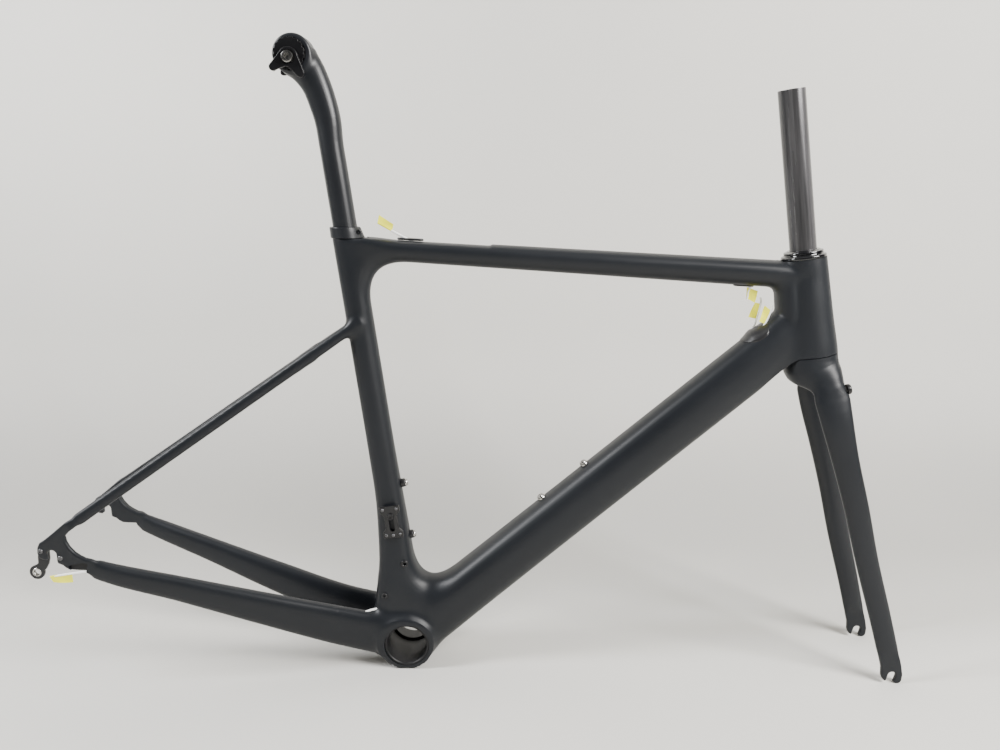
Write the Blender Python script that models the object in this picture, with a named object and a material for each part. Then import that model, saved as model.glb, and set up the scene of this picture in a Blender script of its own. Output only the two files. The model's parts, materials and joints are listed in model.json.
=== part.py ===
"""Road bicycle frameset: carbon frame, fork and seatpost with its saddle clamp.

Metres, +Z up, +X forward, +Y to the rider's left. The frameset stands as it does without wheels, on the
bottom bracket shell and the two fork tips. Places along X are given forward of the bottom bracket axis and
heights above the floor; side(x, z, y) turns them into the part's own frame.
"""

import math

import bmesh
import bpy
from mathutils import Matrix, Vector

# ---- driving dimensions ----------------------------------------------------------------------------------
GAP = 0.0003                      # clearance between touching pieces
WALL = 0.0016                     # carbon wall of the frame tubes
RING = 18                         # points around a tube section
ROUND = 24                        # points around a turned piece
SMALL = 12                        # points around a fastener

BB_X = -0.0770                    # bottom bracket axis, forward of the part's origin
BB_Z = 0.0308                     # and above the floor
BB_RADIUS = 0.0308
BB_BORE_RADIUS = 0.0230
BB_RIGHT = -0.034                 # the asymmetric shell's two faces
BB_LEFT = 0.045
BB_SEAT_DEPTH = 0.020             # length of each bearing seat

STEER_LEAN = math.radians(8.30)   # steering axis from vertical, leaning back
STEER_X = 0.4569                  # steering axis at the crown race seat
STEER_Z = 0.3700
STEERER_RADIUS = 0.0143
STEERER_BORE = 0.0113
STEERER_TOP = 0.2890              # along the axis above the crown race seat
HEAD_TOP = 0.1095

SEAT_LEAN = math.radians(7.45)    # seat tube axis from vertical, leaning back
SEAT_X = 0.0024                   # seat tube axis at the height of the bottom bracket axis
SEAT_TOP = 0.4745                 # along the axis above the bottom bracket axis
POST_RADIUS = 0.0127
SEAT_BORE = 0.0130

REAR_AXLE_X = -0.3880
REAR_AXLE_Z = 0.1580
REAR_HALF_GAP = 0.0650            # half the rear hub width
DROPOUT_THICK = 0.0060
HANGER_THICK = 0.0035
FORK_AXLE_X = 0.5578
FORK_AXLE_Z = 0.0098
FORK_HALF_GAP = 0.0500            # half the front hub width
TIP_THICK = 0.0065

BOSS_PITCH = 0.064                # between the two bottle bosses of a pair
LINER_RADIUS = 0.00125

# ---- finishes: colour, roughness, metallic ---------------------------------------------------------------
FINISHES = {
    "carbon_black": ((0.020, 0.021, 0.024), 0.55, 0.0),
    "carbon_satin": ((0.022, 0.023, 0.026), 0.38, 0.0),
    "carbon_raw": ((0.060, 0.060, 0.064), 0.25, 0.35),
    "anodised_black": ((0.016, 0.016, 0.018), 0.32, 0.8),
    "gloss_black": ((0.010, 0.010, 0.011), 0.12, 0.0),
    "plastic_black": ((0.018, 0.018, 0.019), 0.50, 0.0),
    "steel": ((0.62, 0.61, 0.58), 0.26, 1.0),
    "liner_white": ((0.86, 0.86, 0.84), 0.40, 0.0),
    "tape_yellow": ((0.85, 0.84, 0.22), 0.55, 0.0),
}


# ---- frame of reference ----------------------------------------------------------------------------------
def side(x, z, y=0.0):
    """A point forward of the bottom bracket axis, above the floor and left of the middle plane."""
    return Vector((BB_X + x, y, z))


LEFT = Vector((0, 1, 0))
STEER_AXIS = Vector((-math.sin(STEER_LEAN), 0, math.cos(STEER_LEAN)))
STEER_FORWARD = Vector((math.cos(STEER_LEAN), 0, math.sin(STEER_LEAN)))
STEER_SEAT = side(STEER_X, STEER_Z)
SEAT_AXIS = Vector((-math.sin(SEAT_LEAN), 0, math.cos(SEAT_LEAN)))
SEAT_FORWARD = Vector((math.cos(SEAT_LEAN), 0, math.sin(SEAT_LEAN)))
SEAT_FOOT = side(SEAT_X, BB_Z)


def steer(along, forward=0.0, y=0.0):
    """A point measured along the steering axis from the crown race seat, and forward of it."""
    return STEER_SEAT + STEER_AXIS * along + STEER_FORWARD * forward + LEFT * y


def seat(along, forward=0.0, y=0.0):
    """A point measured along the seat tube axis from the bottom bracket, and forward of it."""
    return SEAT_FOOT + SEAT_AXIS * along + SEAT_FORWARD * forward + LEFT * y


# ---- scene helpers ---------------------------------------------------------------------------------------
def clear_scene():
    for old in list(bpy.data.objects):
        bpy.data.objects.remove(old, do_unlink=True)


def finish_material(name):
    found = bpy.data.materials.get(name)
    if found:
        return found
    colour, roughness, metallic = FINISHES[name]
    material = bpy.data.materials.new(name)
    material.use_nodes = True
    shader = material.node_tree.nodes["Principled BSDF"]
    shader.inputs["Base Color"].default_value = (*colour, 1.0)
    shader.inputs["Roughness"].default_value = roughness
    shader.inputs["Metallic"].default_value = metallic
    material.diffuse_color = (*colour, 1.0)
    return material


def add_empty(name, at, parent=None):
    empty = bpy.data.objects.new(name, None)
    bpy.context.scene.collection.objects.link(empty)
    empty.location = at if parent is None else at - parent.location
    empty.parent = parent
    return empty


def add_object(name, mesh, finish, parent=None, smooth_below=40.0):
    """Links a mesh, given in the part's own frame, under its body's empty."""
    mesh.shade_smooth()
    mesh.set_sharp_from_angle(angle=math.radians(smooth_below))
    item = bpy.data.objects.new(name, mesh)
    bpy.context.scene.collection.objects.link(item)
    if finish:
        mesh.materials.append(finish_material(finish))
    if parent is not None:
        mesh.transform(Matrix.Translation(-parent.location))
        item.parent = parent
    return item


def mesh_from(name, points, faces):
    """A closed mesh with its faces turned outwards."""
    mesh = bpy.data.meshes.new(name)
    mesh.from_pydata([tuple(p) for p in points], [], faces)
    work = bmesh.new()
    work.from_mesh(mesh)
    bmesh.ops.recalc_face_normals(work, faces=work.faces)
    if work.calc_volume(signed=True) < 0:
        bmesh.ops.reverse_faces(work, faces=work.faces)
    work.to_mesh(mesh)
    work.free()
    return mesh


def hide_cutter(item):
    item.hide_render = True
    item.display_type = "WIRE"
    return item


def cut(item, *cutters):
    """Takes each cutter's shape out of an object."""
    for cutter in cutters:
        step = item.modifiers.new("cut_" + cutter.name, "BOOLEAN")
        step.operation = "DIFFERENCE"
        step.solver = "EXACT"
        step.object = cutter
    return item


def join(item, other):
    """Adds another closed shape to an object."""
    step = item.modifiers.new("join_" + other.name, "BOOLEAN")
    step.operation = "UNION"
    step.solver = "EXACT"
    step.object = other
    return item


# ---- shapes ----------------------------------------------------------------------------------------------
def power_point(angle, power):
    """A point of the unit superellipse."""
    c, s = math.cos(angle), math.sin(angle)
    return math.copysign(abs(c) ** (2 / power), c), math.copysign(abs(s) ** (2 / power), s)


def section_ring(centre, wide, deep, half_wide, half_deep, power, taper):
    """One tube section. taper makes its upper side wider than its lower side."""
    ring = []
    for i in range(RING):
        u, v = power_point(2 * math.pi * (i + 0.5) / RING, power)
        ring.append(centre + wide * (half_wide * u * (1 + taper * v)) + deep * (half_deep * v))
    return ring


def section_axes(centres, index):
    """The width and depth directions of a section, square to the tube's run there."""
    before = centres[max(index - 1, 0)]
    after = centres[min(index + 1, len(centres) - 1)]
    run = (after - before).normalized()
    wide = (LEFT - run * run.dot(LEFT)).normalized()
    return wide, run.cross(wide) * -1.0


def tube_rings(stations, grow=0.0):
    """stations: (centre, depth, width, power, taper) along the tube; grow moves the surface outwards."""
    centres = [s[0] for s in stations]
    rings = []
    for i, (centre, depth, width, power, taper) in enumerate(stations):
        wide, deep = section_axes(centres, i)
        rings.append(section_ring(centre, wide, deep, width / 2 + grow, depth / 2 + grow, power, taper))
    return rings


def skin_faces(first_ring, count, size, flip=False):
    faces = []
    for r in range(count - 1):
        for i in range(size):
            a = first_ring + r * size + i
            b = first_ring + r * size + (i + 1) % size
            quad = (a, b, b + size, a + size)
            faces.append(quad[::-1] if flip else quad)
    return faces


def solid_tube(name, stations, finish=None, parent=None, grow=0.0):
    """A closed solid through the stations, with flat ends."""
    rings = tube_rings(stations, grow)
    points = [p for ring in rings for p in ring]
    faces = skin_faces(0, len(rings), RING)
    faces.append(tuple(range(RING))[::-1])
    faces.append(tuple(range(len(points) - RING, len(points))))
    return add_object(name, mesh_from(name, points, faces), finish, parent)


def hollow_tube(name, stations, finish, parent=None, wall=WALL):
    """A tube with open ends and a wall of even thickness."""
    outer, inner = tube_rings(stations), tube_rings(stations, -wall)
    count = len(outer)
    points = [p for ring in outer + inner for p in ring]
    shift = count * RING
    faces = skin_faces(0, count, RING) + skin_faces(shift, count, RING, flip=True)
    for start in (0, (count - 1) * RING):
        for i in range(RING):
            a, b = start + i, start + (i + 1) % RING
            faces.append((a, b, b + shift, a + shift))
    return add_object(name, mesh_from(name, points, faces), finish, parent)


def axis_frame(at, axis):
    """A matrix whose local Z runs along the axis and whose origin is at the point."""
    return Matrix.Translation(at) @ axis.to_track_quat("Z", "Y").to_matrix().to_4x4()


def turned(name, profile, at, axis, finish, parent=None, count=ROUND, loop=False, smooth_below=40.0):
    """Turns a profile of (radius, height) round an axis. A loop stays clear of the axis, as a ring does."""
    frame = axis_frame(at, axis)
    points, rows = [], []
    for radius, height in profile:
        steps = 1 if radius == 0 else count
        row = []
        for i in range(steps):
            angle = 2 * math.pi * i / count
            row.append(len(points))
            points.append(frame @ Vector((radius * math.cos(angle), radius * math.sin(angle), height)))
        rows.append(row)
    faces = []
    pairs = list(zip(rows, rows[1:])) + ([(rows[-1], rows[0])] if loop else [])
    for low, high in pairs:
        for i in range(count):
            quad = [low[i % len(low)], low[(i + 1) % len(low)], high[(i + 1) % len(high)], high[i % len(high)]]
            face = tuple(dict.fromkeys(quad))
            if len(face) > 2:
                faces.append(face)
    if not loop:
        faces += [tuple(row) for row in (rows[0], rows[-1]) if len(row) > 1]
    return add_object(name, mesh_from(name, points, faces), finish, parent, smooth_below)


def rod(name, at, axis, radius, length, finish, parent=None, count=ROUND):
    return turned(name, [(radius, 0.0), (radius, length)], at, axis, finish, parent, count)


def plate(name, outline, place, thickness, normal, finish, parent=None):
    """Extrudes an outline, whose points place() puts in space, along the normal."""
    near = [place(u, v) for u, v in outline]
    far = [p + normal * thickness for p in near]
    n = len(near)
    faces = [tuple(range(n)), tuple(range(n, 2 * n))[::-1]]
    faces += [(i, (i + 1) % n, n + (i + 1) % n, n + i) for i in range(n)]
    return add_object(name, mesh_from(name, near + far, faces), finish, parent, 30.0)


def arc(cx, cz, radius, start, end, steps):
    """Points on an arc, angles in degrees."""
    angles = [math.radians(start + (end - start) * i / steps) for i in range(steps + 1)]
    return [(cx + radius * math.cos(a), cz + radius * math.sin(a)) for a in angles]


def capsule(half_length, radius, steps=6):
    """A slot or a round-ended bar, lying along the first axis."""
    return arc(half_length, 0, radius, -90, 90, steps) + arc(-half_length, 0, radius, 90, 270, steps)


def smooth_path(points, spacing):
    """Points at an even spacing along a Catmull-Rom curve through the given ones."""
    ends = [points[0] * 2 - points[1]] + points + [points[-1] * 2 - points[-2]]
    fine = []
    for p0, p1, p2, p3 in zip(ends, ends[1:], ends[2:], ends[3:]):
        for i in range(24):
            t = i / 24
            fine.append(
                p1 + (p2 - p0) * (0.5 * t)
                + (p0 * 2 - p1 * 5 + p2 * 4 - p3) * (0.5 * t * t)
                + (p1 * 3 - p0 - p2 * 3 + p3) * (0.5 * t ** 3)
            )
    fine.append(points[-1])
    picked, run = [fine[0]], 0.0
    for a, b in zip(fine, fine[1:]):
        run += (b - a).length
        if run >= spacing:
            picked.append(b)
            run = 0.0
    picked[-1] = fine[-1]
    return picked


def swept_rod(name, points, radius, finish, parent=None, sides=6, spacing=0.016):
    """A round rod along a smooth curve through the points, with flat ends."""
    path = smooth_path(points, spacing)
    across = LEFT.copy()
    verts = []
    for i, spot in enumerate(path):
        run = (path[min(i + 1, len(path) - 1)] - path[max(i - 1, 0)]).normalized()
        across = (across - run * run.dot(across)).normalized()
        other = run.cross(across)
        for k in range(sides):
            angle = 2 * math.pi * k / sides
            verts.append(spot + across * (radius * math.cos(angle)) + other * (radius * math.sin(angle)))
    faces = skin_faces(0, len(path), sides)
    faces.append(tuple(range(sides))[::-1])
    faces.append(tuple(range(len(verts) - sides, len(verts))))
    return add_object(name, mesh_from(name, verts, faces), finish, parent, 70.0)


# ---- tube stations ---------------------------------------------------------------------------------------
def top_tube_stations():
    """A wide crowned tube, narrower below, dropping towards the head."""
    rows = ((-0.022, 0.4896, 0.0234, 0.033), (0.060, 0.4846, 0.0241, 0.034), (0.200, 0.4760, 0.0255, 0.035),
            (0.330, 0.4681, 0.0267, 0.037), (0.440, 0.4614, 0.0277, 0.040))
    return [(side(x, z), depth, width, 2.5, 0.16) for x, z, depth, width in rows]


def down_tube_stations():
    """A deep box with rounded corners, wider at the bottom bracket."""
    rows = ((0.004, 0.0325, 0.0580, 0.058), (0.085, 0.1014, 0.0590, 0.054), (0.200, 0.1994, 0.0575, 0.049),
            (0.300, 0.2846, 0.0570, 0.047), (0.380, 0.3528, 0.0565, 0.046), (0.4440, 0.4073, 0.0560, 0.044))
    return [(side(x, z), depth, width, 3.2, 0.0) for x, z, depth, width in rows]


def seat_tube_stations():
    """Round at the collar, deeper and wider towards the bottom bracket."""
    rows = ((0.002, 0.0, 0.0520, 0.058, 3.0), (0.056, -0.0045, 0.0470, 0.056, 3.0),
            (0.094, -0.0030, 0.0400, 0.047, 2.8), (0.130, -0.0015, 0.0365, 0.040, 2.6),
            (0.170, 0.0, 0.0325, 0.035, 2.4), (0.230, 0.0, 0.0308, 0.032, 2.1), (0.300, 0.0, 0.0306, 0.031, 2.0),
            (SEAT_TOP, 0.0, 0.0306, 0.0306, 2.0))
    return [(seat(s, f), depth, width, power, 0.0) for s, f, depth, width, power in rows]


def chainstay_stations(hand):
    """hand is -1 on the right, which runs closer in to clear the chainrings, and 1 on the left."""
    near_y = 0.0215 if hand < 0 else 0.0300
    mid_y = 0.0265 if hand < 0 else 0.0310
    rows = ((-0.3515, 0.1420, 0.0690, 0.0200, 0.0085), (-0.335, 0.1367, 0.0675, 0.0220, 0.0125),
            (-0.251, 0.1097, 0.0540, 0.0290, 0.0170), (-0.165, 0.0800, 0.0400, 0.0380, 0.0200),
            (-0.085, 0.0540, mid_y, 0.0450, 0.0205), (-0.006, 0.0350, near_y, 0.0480, 0.0220))
    return [(side(x, z, y * hand), depth, width, 2.9, 0.0) for x, z, y, depth, width in rows]


def seatstay_stations(hand):
    rows = ((-0.3640, 0.1938, 0.0684, 0.0140, 0.0080), (-0.345, 0.2070, 0.0640, 0.0136, 0.0095),
            (-0.289, 0.2445, 0.0520, 0.0132, 0.0100), (-0.178, 0.3200, 0.0310, 0.0130, 0.0104),
            (-0.075, 0.3905, 0.0145, 0.0124, 0.0110), (-0.047, 0.4095, 0.0085, 0.0115, 0.0110))
    return [(side(x, z, y * hand), depth, width, 2.4, 0.0) for x, z, y, depth, width in rows]


def blade_stations(hand):
    rows = ((0.4705, 0.3390, 0.0300, 0.0370, 0.0150), (0.4770, 0.3100, 0.0350, 0.0330, 0.0165),
            (0.4890, 0.2650, 0.0385, 0.0285, 0.0160), (0.5060, 0.2050, 0.0425, 0.0255, 0.0148),
            (0.5197, 0.1500, 0.0460, 0.0240, 0.0132), (0.5414, 0.0756, 0.0500, 0.0232, 0.0110),
            (0.5525, 0.0350, 0.0525, 0.0228, 0.0082))
    return [(side(x, z, y * hand), depth, width, 2.3, 0.0) for x, z, y, depth, width in rows]


# ---- main frame ------------------------------------------------------------------------------------------
CONE_TOP = 0.0236                 # radius where the fork crown's flat top turns into its cone
CONE_EDGE = 0.0420
CROWN_GAP = 0.0009                # clearance between the fork crown and the frame


def cone_height(radius):
    """Height of the crown's conical shoulder along the steering axis."""
    return CONE_TOP - radius


def crown_clearance():
    """The round recess over the fork crown: a cutter that the fork can turn under."""
    low = cone_height(CONE_EDGE)
    profile = [(0.0, low - 0.040), (CONE_EDGE, low - 0.040), (CONE_EDGE, low + CROWN_GAP),
               (CONE_TOP, CROWN_GAP), (0.0, CROWN_GAP)]
    return hide_cutter(turned("crown_recess_cutter", profile, STEER_SEAT, STEER_AXIS, None, count=ROUND))


def head_tube(body):
    """Tapered outside, with a bearing seat at each end and a plain bore between them."""
    foot, bore = 0.0287, 0.0240
    profile = [(foot, cone_height(foot) + CROWN_GAP), (0.0288, 0.0060), (0.0284, 0.0140), (0.0270, 0.0350),
               (0.0252, 0.0800), (0.0240, HEAD_TOP), (0.0212, HEAD_TOP), (0.0212, HEAD_TOP - 0.0075),
               (0.0190, HEAD_TOP - 0.0075), (0.0205, 0.0130), (bore, 0.0130),
               (bore, cone_height(bore) + CROWN_GAP)]
    return turned("head_tube", profile, STEER_SEAT, STEER_AXIS, "carbon_black", body, count=ROUND, loop=True)


def head_cutter():
    """The outside of the head tube and a clearance, for the tubes that meet it."""
    profile = [(0.0, -0.0300), (0.0291, -0.0300), (0.0291, 0.0060), (0.0287, 0.0140), (0.0273, 0.0350),
               (0.0255, 0.0800), (0.0243, 0.1300), (0.0, 0.1300)]
    return hide_cutter(turned("head_cutter", profile, STEER_SEAT, STEER_AXIS, None, count=ROUND))


def bottom_bracket_shell(body):
    left, right, bore = BB_LEFT, BB_RIGHT, BB_BORE_RADIUS
    relief = bore + 0.0030
    profile = [(BB_RADIUS, right), (BB_RADIUS, left), (bore, left), (bore, left - BB_SEAT_DEPTH),
               (relief, left - BB_SEAT_DEPTH - 0.002), (relief, right + BB_SEAT_DEPTH + 0.002),
               (bore, right + BB_SEAT_DEPTH), (bore, right)]
    at = side(0, BB_Z)
    return turned("bottom_bracket_shell", profile, at, LEFT, "carbon_black", body, count=32, loop=True)


def bracket_cutter():
    profile = [(BB_RADIUS + GAP, BB_RIGHT - GAP), (BB_RADIUS + GAP, BB_LEFT + GAP)]
    return hide_cutter(turned("bracket_cutter", profile, side(0, BB_Z), LEFT, None, count=32))


DROPOUT_OUTLINE = (
    [(0.0177, 0.0414), (-0.0040, 0.0262), (-0.0125, 0.0180)]
    + arc(-0.0117, 0.0051, 0.0072, 160, 250, 4)
    + [(-0.0050, -0.0045)] + arc(0, 0, 0.0050, 180, 0, 8)
    + [(0.0050, -0.0080), (0.0085, -0.0125), (0.0200, -0.0170), (0.0332, -0.0247), (0.0388, -0.0063)]
    + [(0.0290, 0.0020), (0.0195, 0.0092), (0.0142, 0.0150), (0.0128, 0.0192), (0.0160, 0.0232)]
    + [(0.0256, 0.0299)]
)


def axle_place(y):
    """Puts an outline drawn round the rear axle into space, at a distance from the middle plane."""
    return lambda u, v: side(REAR_AXLE_X + u, REAR_AXLE_Z + v, y)


def rear_dropout(name, hand, body):
    inner = REAR_HALF_GAP + (HANGER_THICK + GAP if hand < 0 else 0.0)
    thick = DROPOUT_THICK if hand < 0 else DROPOUT_THICK + HANGER_THICK + GAP
    return plate(name, DROPOUT_OUTLINE, axle_place(inner * hand), thick, LEFT * hand, "carbon_black", body)


def cable_recess_cutter():
    """The shallow pocket in the right dropout's outer face where the shift cable leaves the chainstay."""
    outline = [(0.0180, -0.0085), (0.0365, -0.0095), (0.0335, -0.0195), (0.0215, -0.0155)]
    outer = -(REAR_HALF_GAP + HANGER_THICK + GAP + DROPOUT_THICK)
    pocket = 0.0022
    return hide_cutter(plate("cable_recess_cutter", outline, axle_place(outer + pocket), 0.01, -LEFT, None))


HANGER_SCREWS = ((-0.0117, 0.0051), (0.0095, -0.0036))
DERAILLEUR_HOLE = (-0.0196, -0.0216)


def derailleur_hanger(body):
    """A plate inside the right dropout, arched over the axle, with the derailleur's threaded eye below."""
    outline = (
        [(-0.0050, -0.0060)] + arc(0, 0, 0.0050, 180, 0, 6) + [(0.0050, -0.0075)]
        + arc(*HANGER_SCREWS[1], 0.0058, 240, 410, 5) + [(0.0050, 0.0100), (-0.0040, 0.0115)]
        + arc(*HANGER_SCREWS[0], 0.0064, 90, 190, 4) + [(-0.0165, -0.0060), (-0.0185, -0.0115)]
        + [(-0.0250, -0.0152)] + arc(*DERAILLEUR_HOLE, 0.0084, 150, 375, 9) + [(-0.0085, -0.0130)]
    )
    inner = -REAR_HALF_GAP
    item = plate("derailleur_hanger", outline, axle_place(inner), HANGER_THICK, -LEFT, "anodised_black", body)
    eye = rod("eye_cutter", axle_place(0.0)(*DERAILLEUR_HOLE), -LEFT, 0.0044, 0.1, None)
    return cut(item, hide_cutter(eye))


def screw(name, at, axis, head_radius, head_height, shank_radius, shank_length, body, finish="steel"):
    """A button head above the point and a shank below it."""
    profile = [(0.0, head_height), (head_radius * 0.6, head_height), (head_radius, head_height * 0.35),
               (head_radius, 0.0), (shank_radius, 0.0), (shank_radius, -shank_length), (0.0, -shank_length)]
    return turned(name, profile, at, axis, finish, body, count=SMALL)


def hole_cutter(name, at, axis, radius, length):
    """A cylinder along the axis, centred on the point."""
    return hide_cutter(rod(name, at - axis * (length / 2), axis, radius, length, None, count=SMALL))


def build_main_frame(body):
    head = head_cutter()
    bracket = bracket_cutter()
    crown = crown_clearance()
    seat_shape = seat_tube_stations()
    seat_cutter = hide_cutter(solid_tube("seat_cutter", seat_shape, grow=GAP))
    down_cutter = hide_cutter(solid_tube("down_cutter", down_tube_stations(), grow=GAP))
    bore = [(SEAT_BORE, 0.240), (SEAT_BORE, 0.520)]
    seat_bore = hide_cutter(turned("seat_bore_cutter", bore, SEAT_FOOT, SEAT_AXIS, None))

    head_tube(body)
    bottom_bracket_shell(body)
    seat_item = hollow_tube("seat_tube", seat_shape, "carbon_black", body, wall=0.0020)
    cut(seat_item, bracket, seat_bore)
    top_item = hollow_tube("top_tube", top_tube_stations(), "carbon_black", body)
    cut(top_item, head, seat_cutter)
    down_item = hollow_tube("down_tube", down_tube_stations(), "carbon_black", body)
    cut(down_item, head, bracket, seat_cutter, crown)

    stays = {}
    for label, hand in (("right", -1), ("left", 1)):
        chainstay = hollow_tube("chainstay_" + label, chainstay_stations(hand), "carbon_black", body)
        cut(chainstay, bracket, seat_cutter, down_cutter)
        seatstay = hollow_tube("seatstay_" + label, seatstay_stations(hand), "carbon_black", body, wall=0.0013)
        cut(seatstay, seat_cutter)
        stay_cutter = solid_tube("stay_cutter_" + label, seatstay_stations(hand), grow=GAP)
        dropout = rear_dropout("dropout_" + label, hand, body)
        if hand < 0:
            cut(dropout, cable_recess_cutter())
        stays[label] = (chainstay, seatstay, hide_cutter(stay_cutter), dropout)

    middle, run = side(-0.1100, 0.3665), Vector((0.826, 0, 0.563))
    rise = Vector((-0.563, 0, 0.826))
    half_span = 0.0185
    bridge_outline = [(-0.0140, -0.0045), (0.0120, -0.0045), (0.0135, 0.0020), (0.0060, 0.0060),
                      (-0.0070, 0.0060), (-0.0150, 0.0020)]
    bridge = plate("brake_bridge", bridge_outline,
                   lambda u, v: middle + run * u + rise * v - LEFT * half_span,
                   2 * half_span, LEFT, "carbon_black", body)
    bolt_hole = hole_cutter("brake_hole_cutter", middle, rise, 0.0031, 0.06)
    cut(bridge, stays["right"][2], stays["left"][2], bolt_hole)
    return seat_item, top_item, down_item, stays


# ---- small frame fittings --------------------------------------------------------------------------------
def build_hanger(body, dropout):
    hanger = derailleur_hanger(body)
    outer = -(REAR_HALF_GAP + HANGER_THICK + GAP + DROPOUT_THICK)
    for number, (u, v) in enumerate(HANGER_SCREWS, 1):
        at = axle_place(outer - GAP)(u, v)
        screw(f"hanger_screw_{number}", at, -LEFT, 0.0033, 0.0008, 0.0018, 0.0088, body)
        hole = hole_cutter(f"hanger_screw_cutter_{number}", at, LEFT, 0.0018 + GAP, 0.022)
        cut(dropout, hole)
        cut(hanger, hole)


def build_bottle_bosses(body, seat_item, down_item):
    """A pair of threaded inserts with bolts on the front of the seat tube and on top of the down tube."""
    down_run = Vector((0.7612, 0, 0.6486))
    down_up = Vector((-0.6486, 0, 0.7612))
    seat_mid = seat(0.1560) + SEAT_FORWARD * 0.0175
    down_mid = side(0.1810, 0.2236) - down_up * 0.0005
    spots = []
    for number, shift in ((1, -0.5), (2, 0.5)):
        spots.append((f"seat_tube_boss_{number}", seat_mid + SEAT_AXIS * (BOSS_PITCH * shift), SEAT_FORWARD,
                      seat_item, 0.0034, "plastic_black"))
        spots.append((f"down_tube_boss_{number}", down_mid + down_run * (BOSS_PITCH * shift), down_up,
                      down_item, 0.0010, "steel"))
    for name, at, axis, tube, height, finish in spots:
        barrel, flange, bore = 0.0034, 0.0052, 0.0026
        profile = [(flange, 0.0), (flange * 0.86, height), (bore, height), (bore, -0.010), (barrel, -0.010),
                   (barrel, 0.0)]
        turned(name, profile, at, axis, finish, body, count=SMALL, loop=True)
        top = at + axis * (height + GAP)
        screw(name.replace("boss", "bottle_bolt"), top, axis, 0.0042, 0.0022, bore - GAP, 0.0085, body)
        cut(tube, hole_cutter(name + "_cutter", at, axis, barrel + GAP, 0.014))


def build_front_derailleur_mount(body):
    """A slotted plate on the right of the seat tube, held by rivets."""
    middle = seat(0.1500, 0.0015, -0.0207)
    place = lambda u, v: middle + SEAT_FORWARD * u + SEAT_AXIS * v
    flange, waist, half = 0.0115, 0.0075, 0.0195
    outline = [(-flange, -half), (flange, -half), (flange, -half + 0.0085), (waist, -half + 0.0115),
               (waist, half - 0.0115), (flange, half - 0.0085), (flange, half), (-flange, half),
               (-flange, half - 0.0085), (-waist, half - 0.0115), (-waist, -half + 0.0115),
               (-flange, -half + 0.0085)]
    mount = plate("front_derailleur_mount", outline, place, 0.0030, -LEFT, "anodised_black", body)
    slot_outline = [(v, u) for u, v in capsule(0.0085, 0.0029)]
    slot = plate("mount_slot_cutter", slot_outline, lambda u, v: place(u, v) + LEFT * 0.002, 0.008, -LEFT, None)
    cut(mount, hide_cutter(slot))
    face = -LEFT * (0.0030 + GAP)
    rivets = ((-0.0080, 0.0155), (0.0080, 0.0155), (-0.0080, -0.0155), (0.0, -0.0162), (0.0080, -0.0155))
    for number, (u, v) in enumerate(rivets, 1):
        dome = [(0.0, 0.0011), (0.0012, 0.0009), (0.0019, 0.0), (0.0019, -0.0010), (0.0, -0.0010)]
        at = place(u, v) - LEFT * 0.0030
        join(mount, hide_cutter(turned(f"mount_rivet_{number}", dome, at, -LEFT, None, count=8)))
    screw("mount_bolt", place(0.0, 0.0070) + face, -LEFT, 0.0040, 0.0016, 0.0024, 0.0028, body, "anodised_black")


def build_seat_insert(body, seat_item):
    """A threaded insert low on the right of the seat tube, and the hole where the shift cable comes out."""
    at = seat(0.0970, 0.0085, -0.0229)
    profile = [(0.0041, 0.0), (0.0036, 0.0009), (0.0021, 0.0009), (0.0021, -0.0080), (0.0029, -0.0080),
               (0.0029, 0.0)]
    turned("seat_tube_insert", profile, at, -LEFT, "anodised_black", body, count=SMALL, loop=True)
    cable = hole_cutter("cable_exit_cutter", seat(0.0620, -0.0200, -0.0200), LEFT, 0.0022, 0.030)
    cut(seat_item, hole_cutter("seat_insert_cutter", at, LEFT, 0.0029 + GAP, 0.024), cable)


def build_seat_collar(body):
    """A split ring with a thicker front that takes the pinch bolt across it."""
    outline = (arc(0.0, 0.0, 0.0170, 40, 320, 24)
               + [(0.0185, -0.0085), (0.0205, -0.0060), (0.0205, -0.0008), (0.0136, -0.0008)]
               + arc(0.0, 0.0, 0.0131, 356, 4, 24)
               + [(0.0136, 0.0008), (0.0205, 0.0008), (0.0205, 0.0060), (0.0185, 0.0085)])
    base = seat(SEAT_TOP + GAP)
    place = lambda u, v: base + SEAT_FORWARD * u + LEFT * v
    collar = plate("seat_collar", outline, place, 0.0120, SEAT_AXIS, "anodised_black", body)
    at = base + SEAT_AXIS * 0.0060 + SEAT_FORWARD * 0.0163
    cut(collar, hole_cutter("pinch_cutter", at, LEFT, 0.0015, 0.04))
    profile = [(0.0, -0.0078), (0.0012, -0.0078), (0.0012, 0.0078), (0.0, 0.0078)]
    turned("collar_bolt", profile, at, LEFT, "steel", body, count=12)


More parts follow.
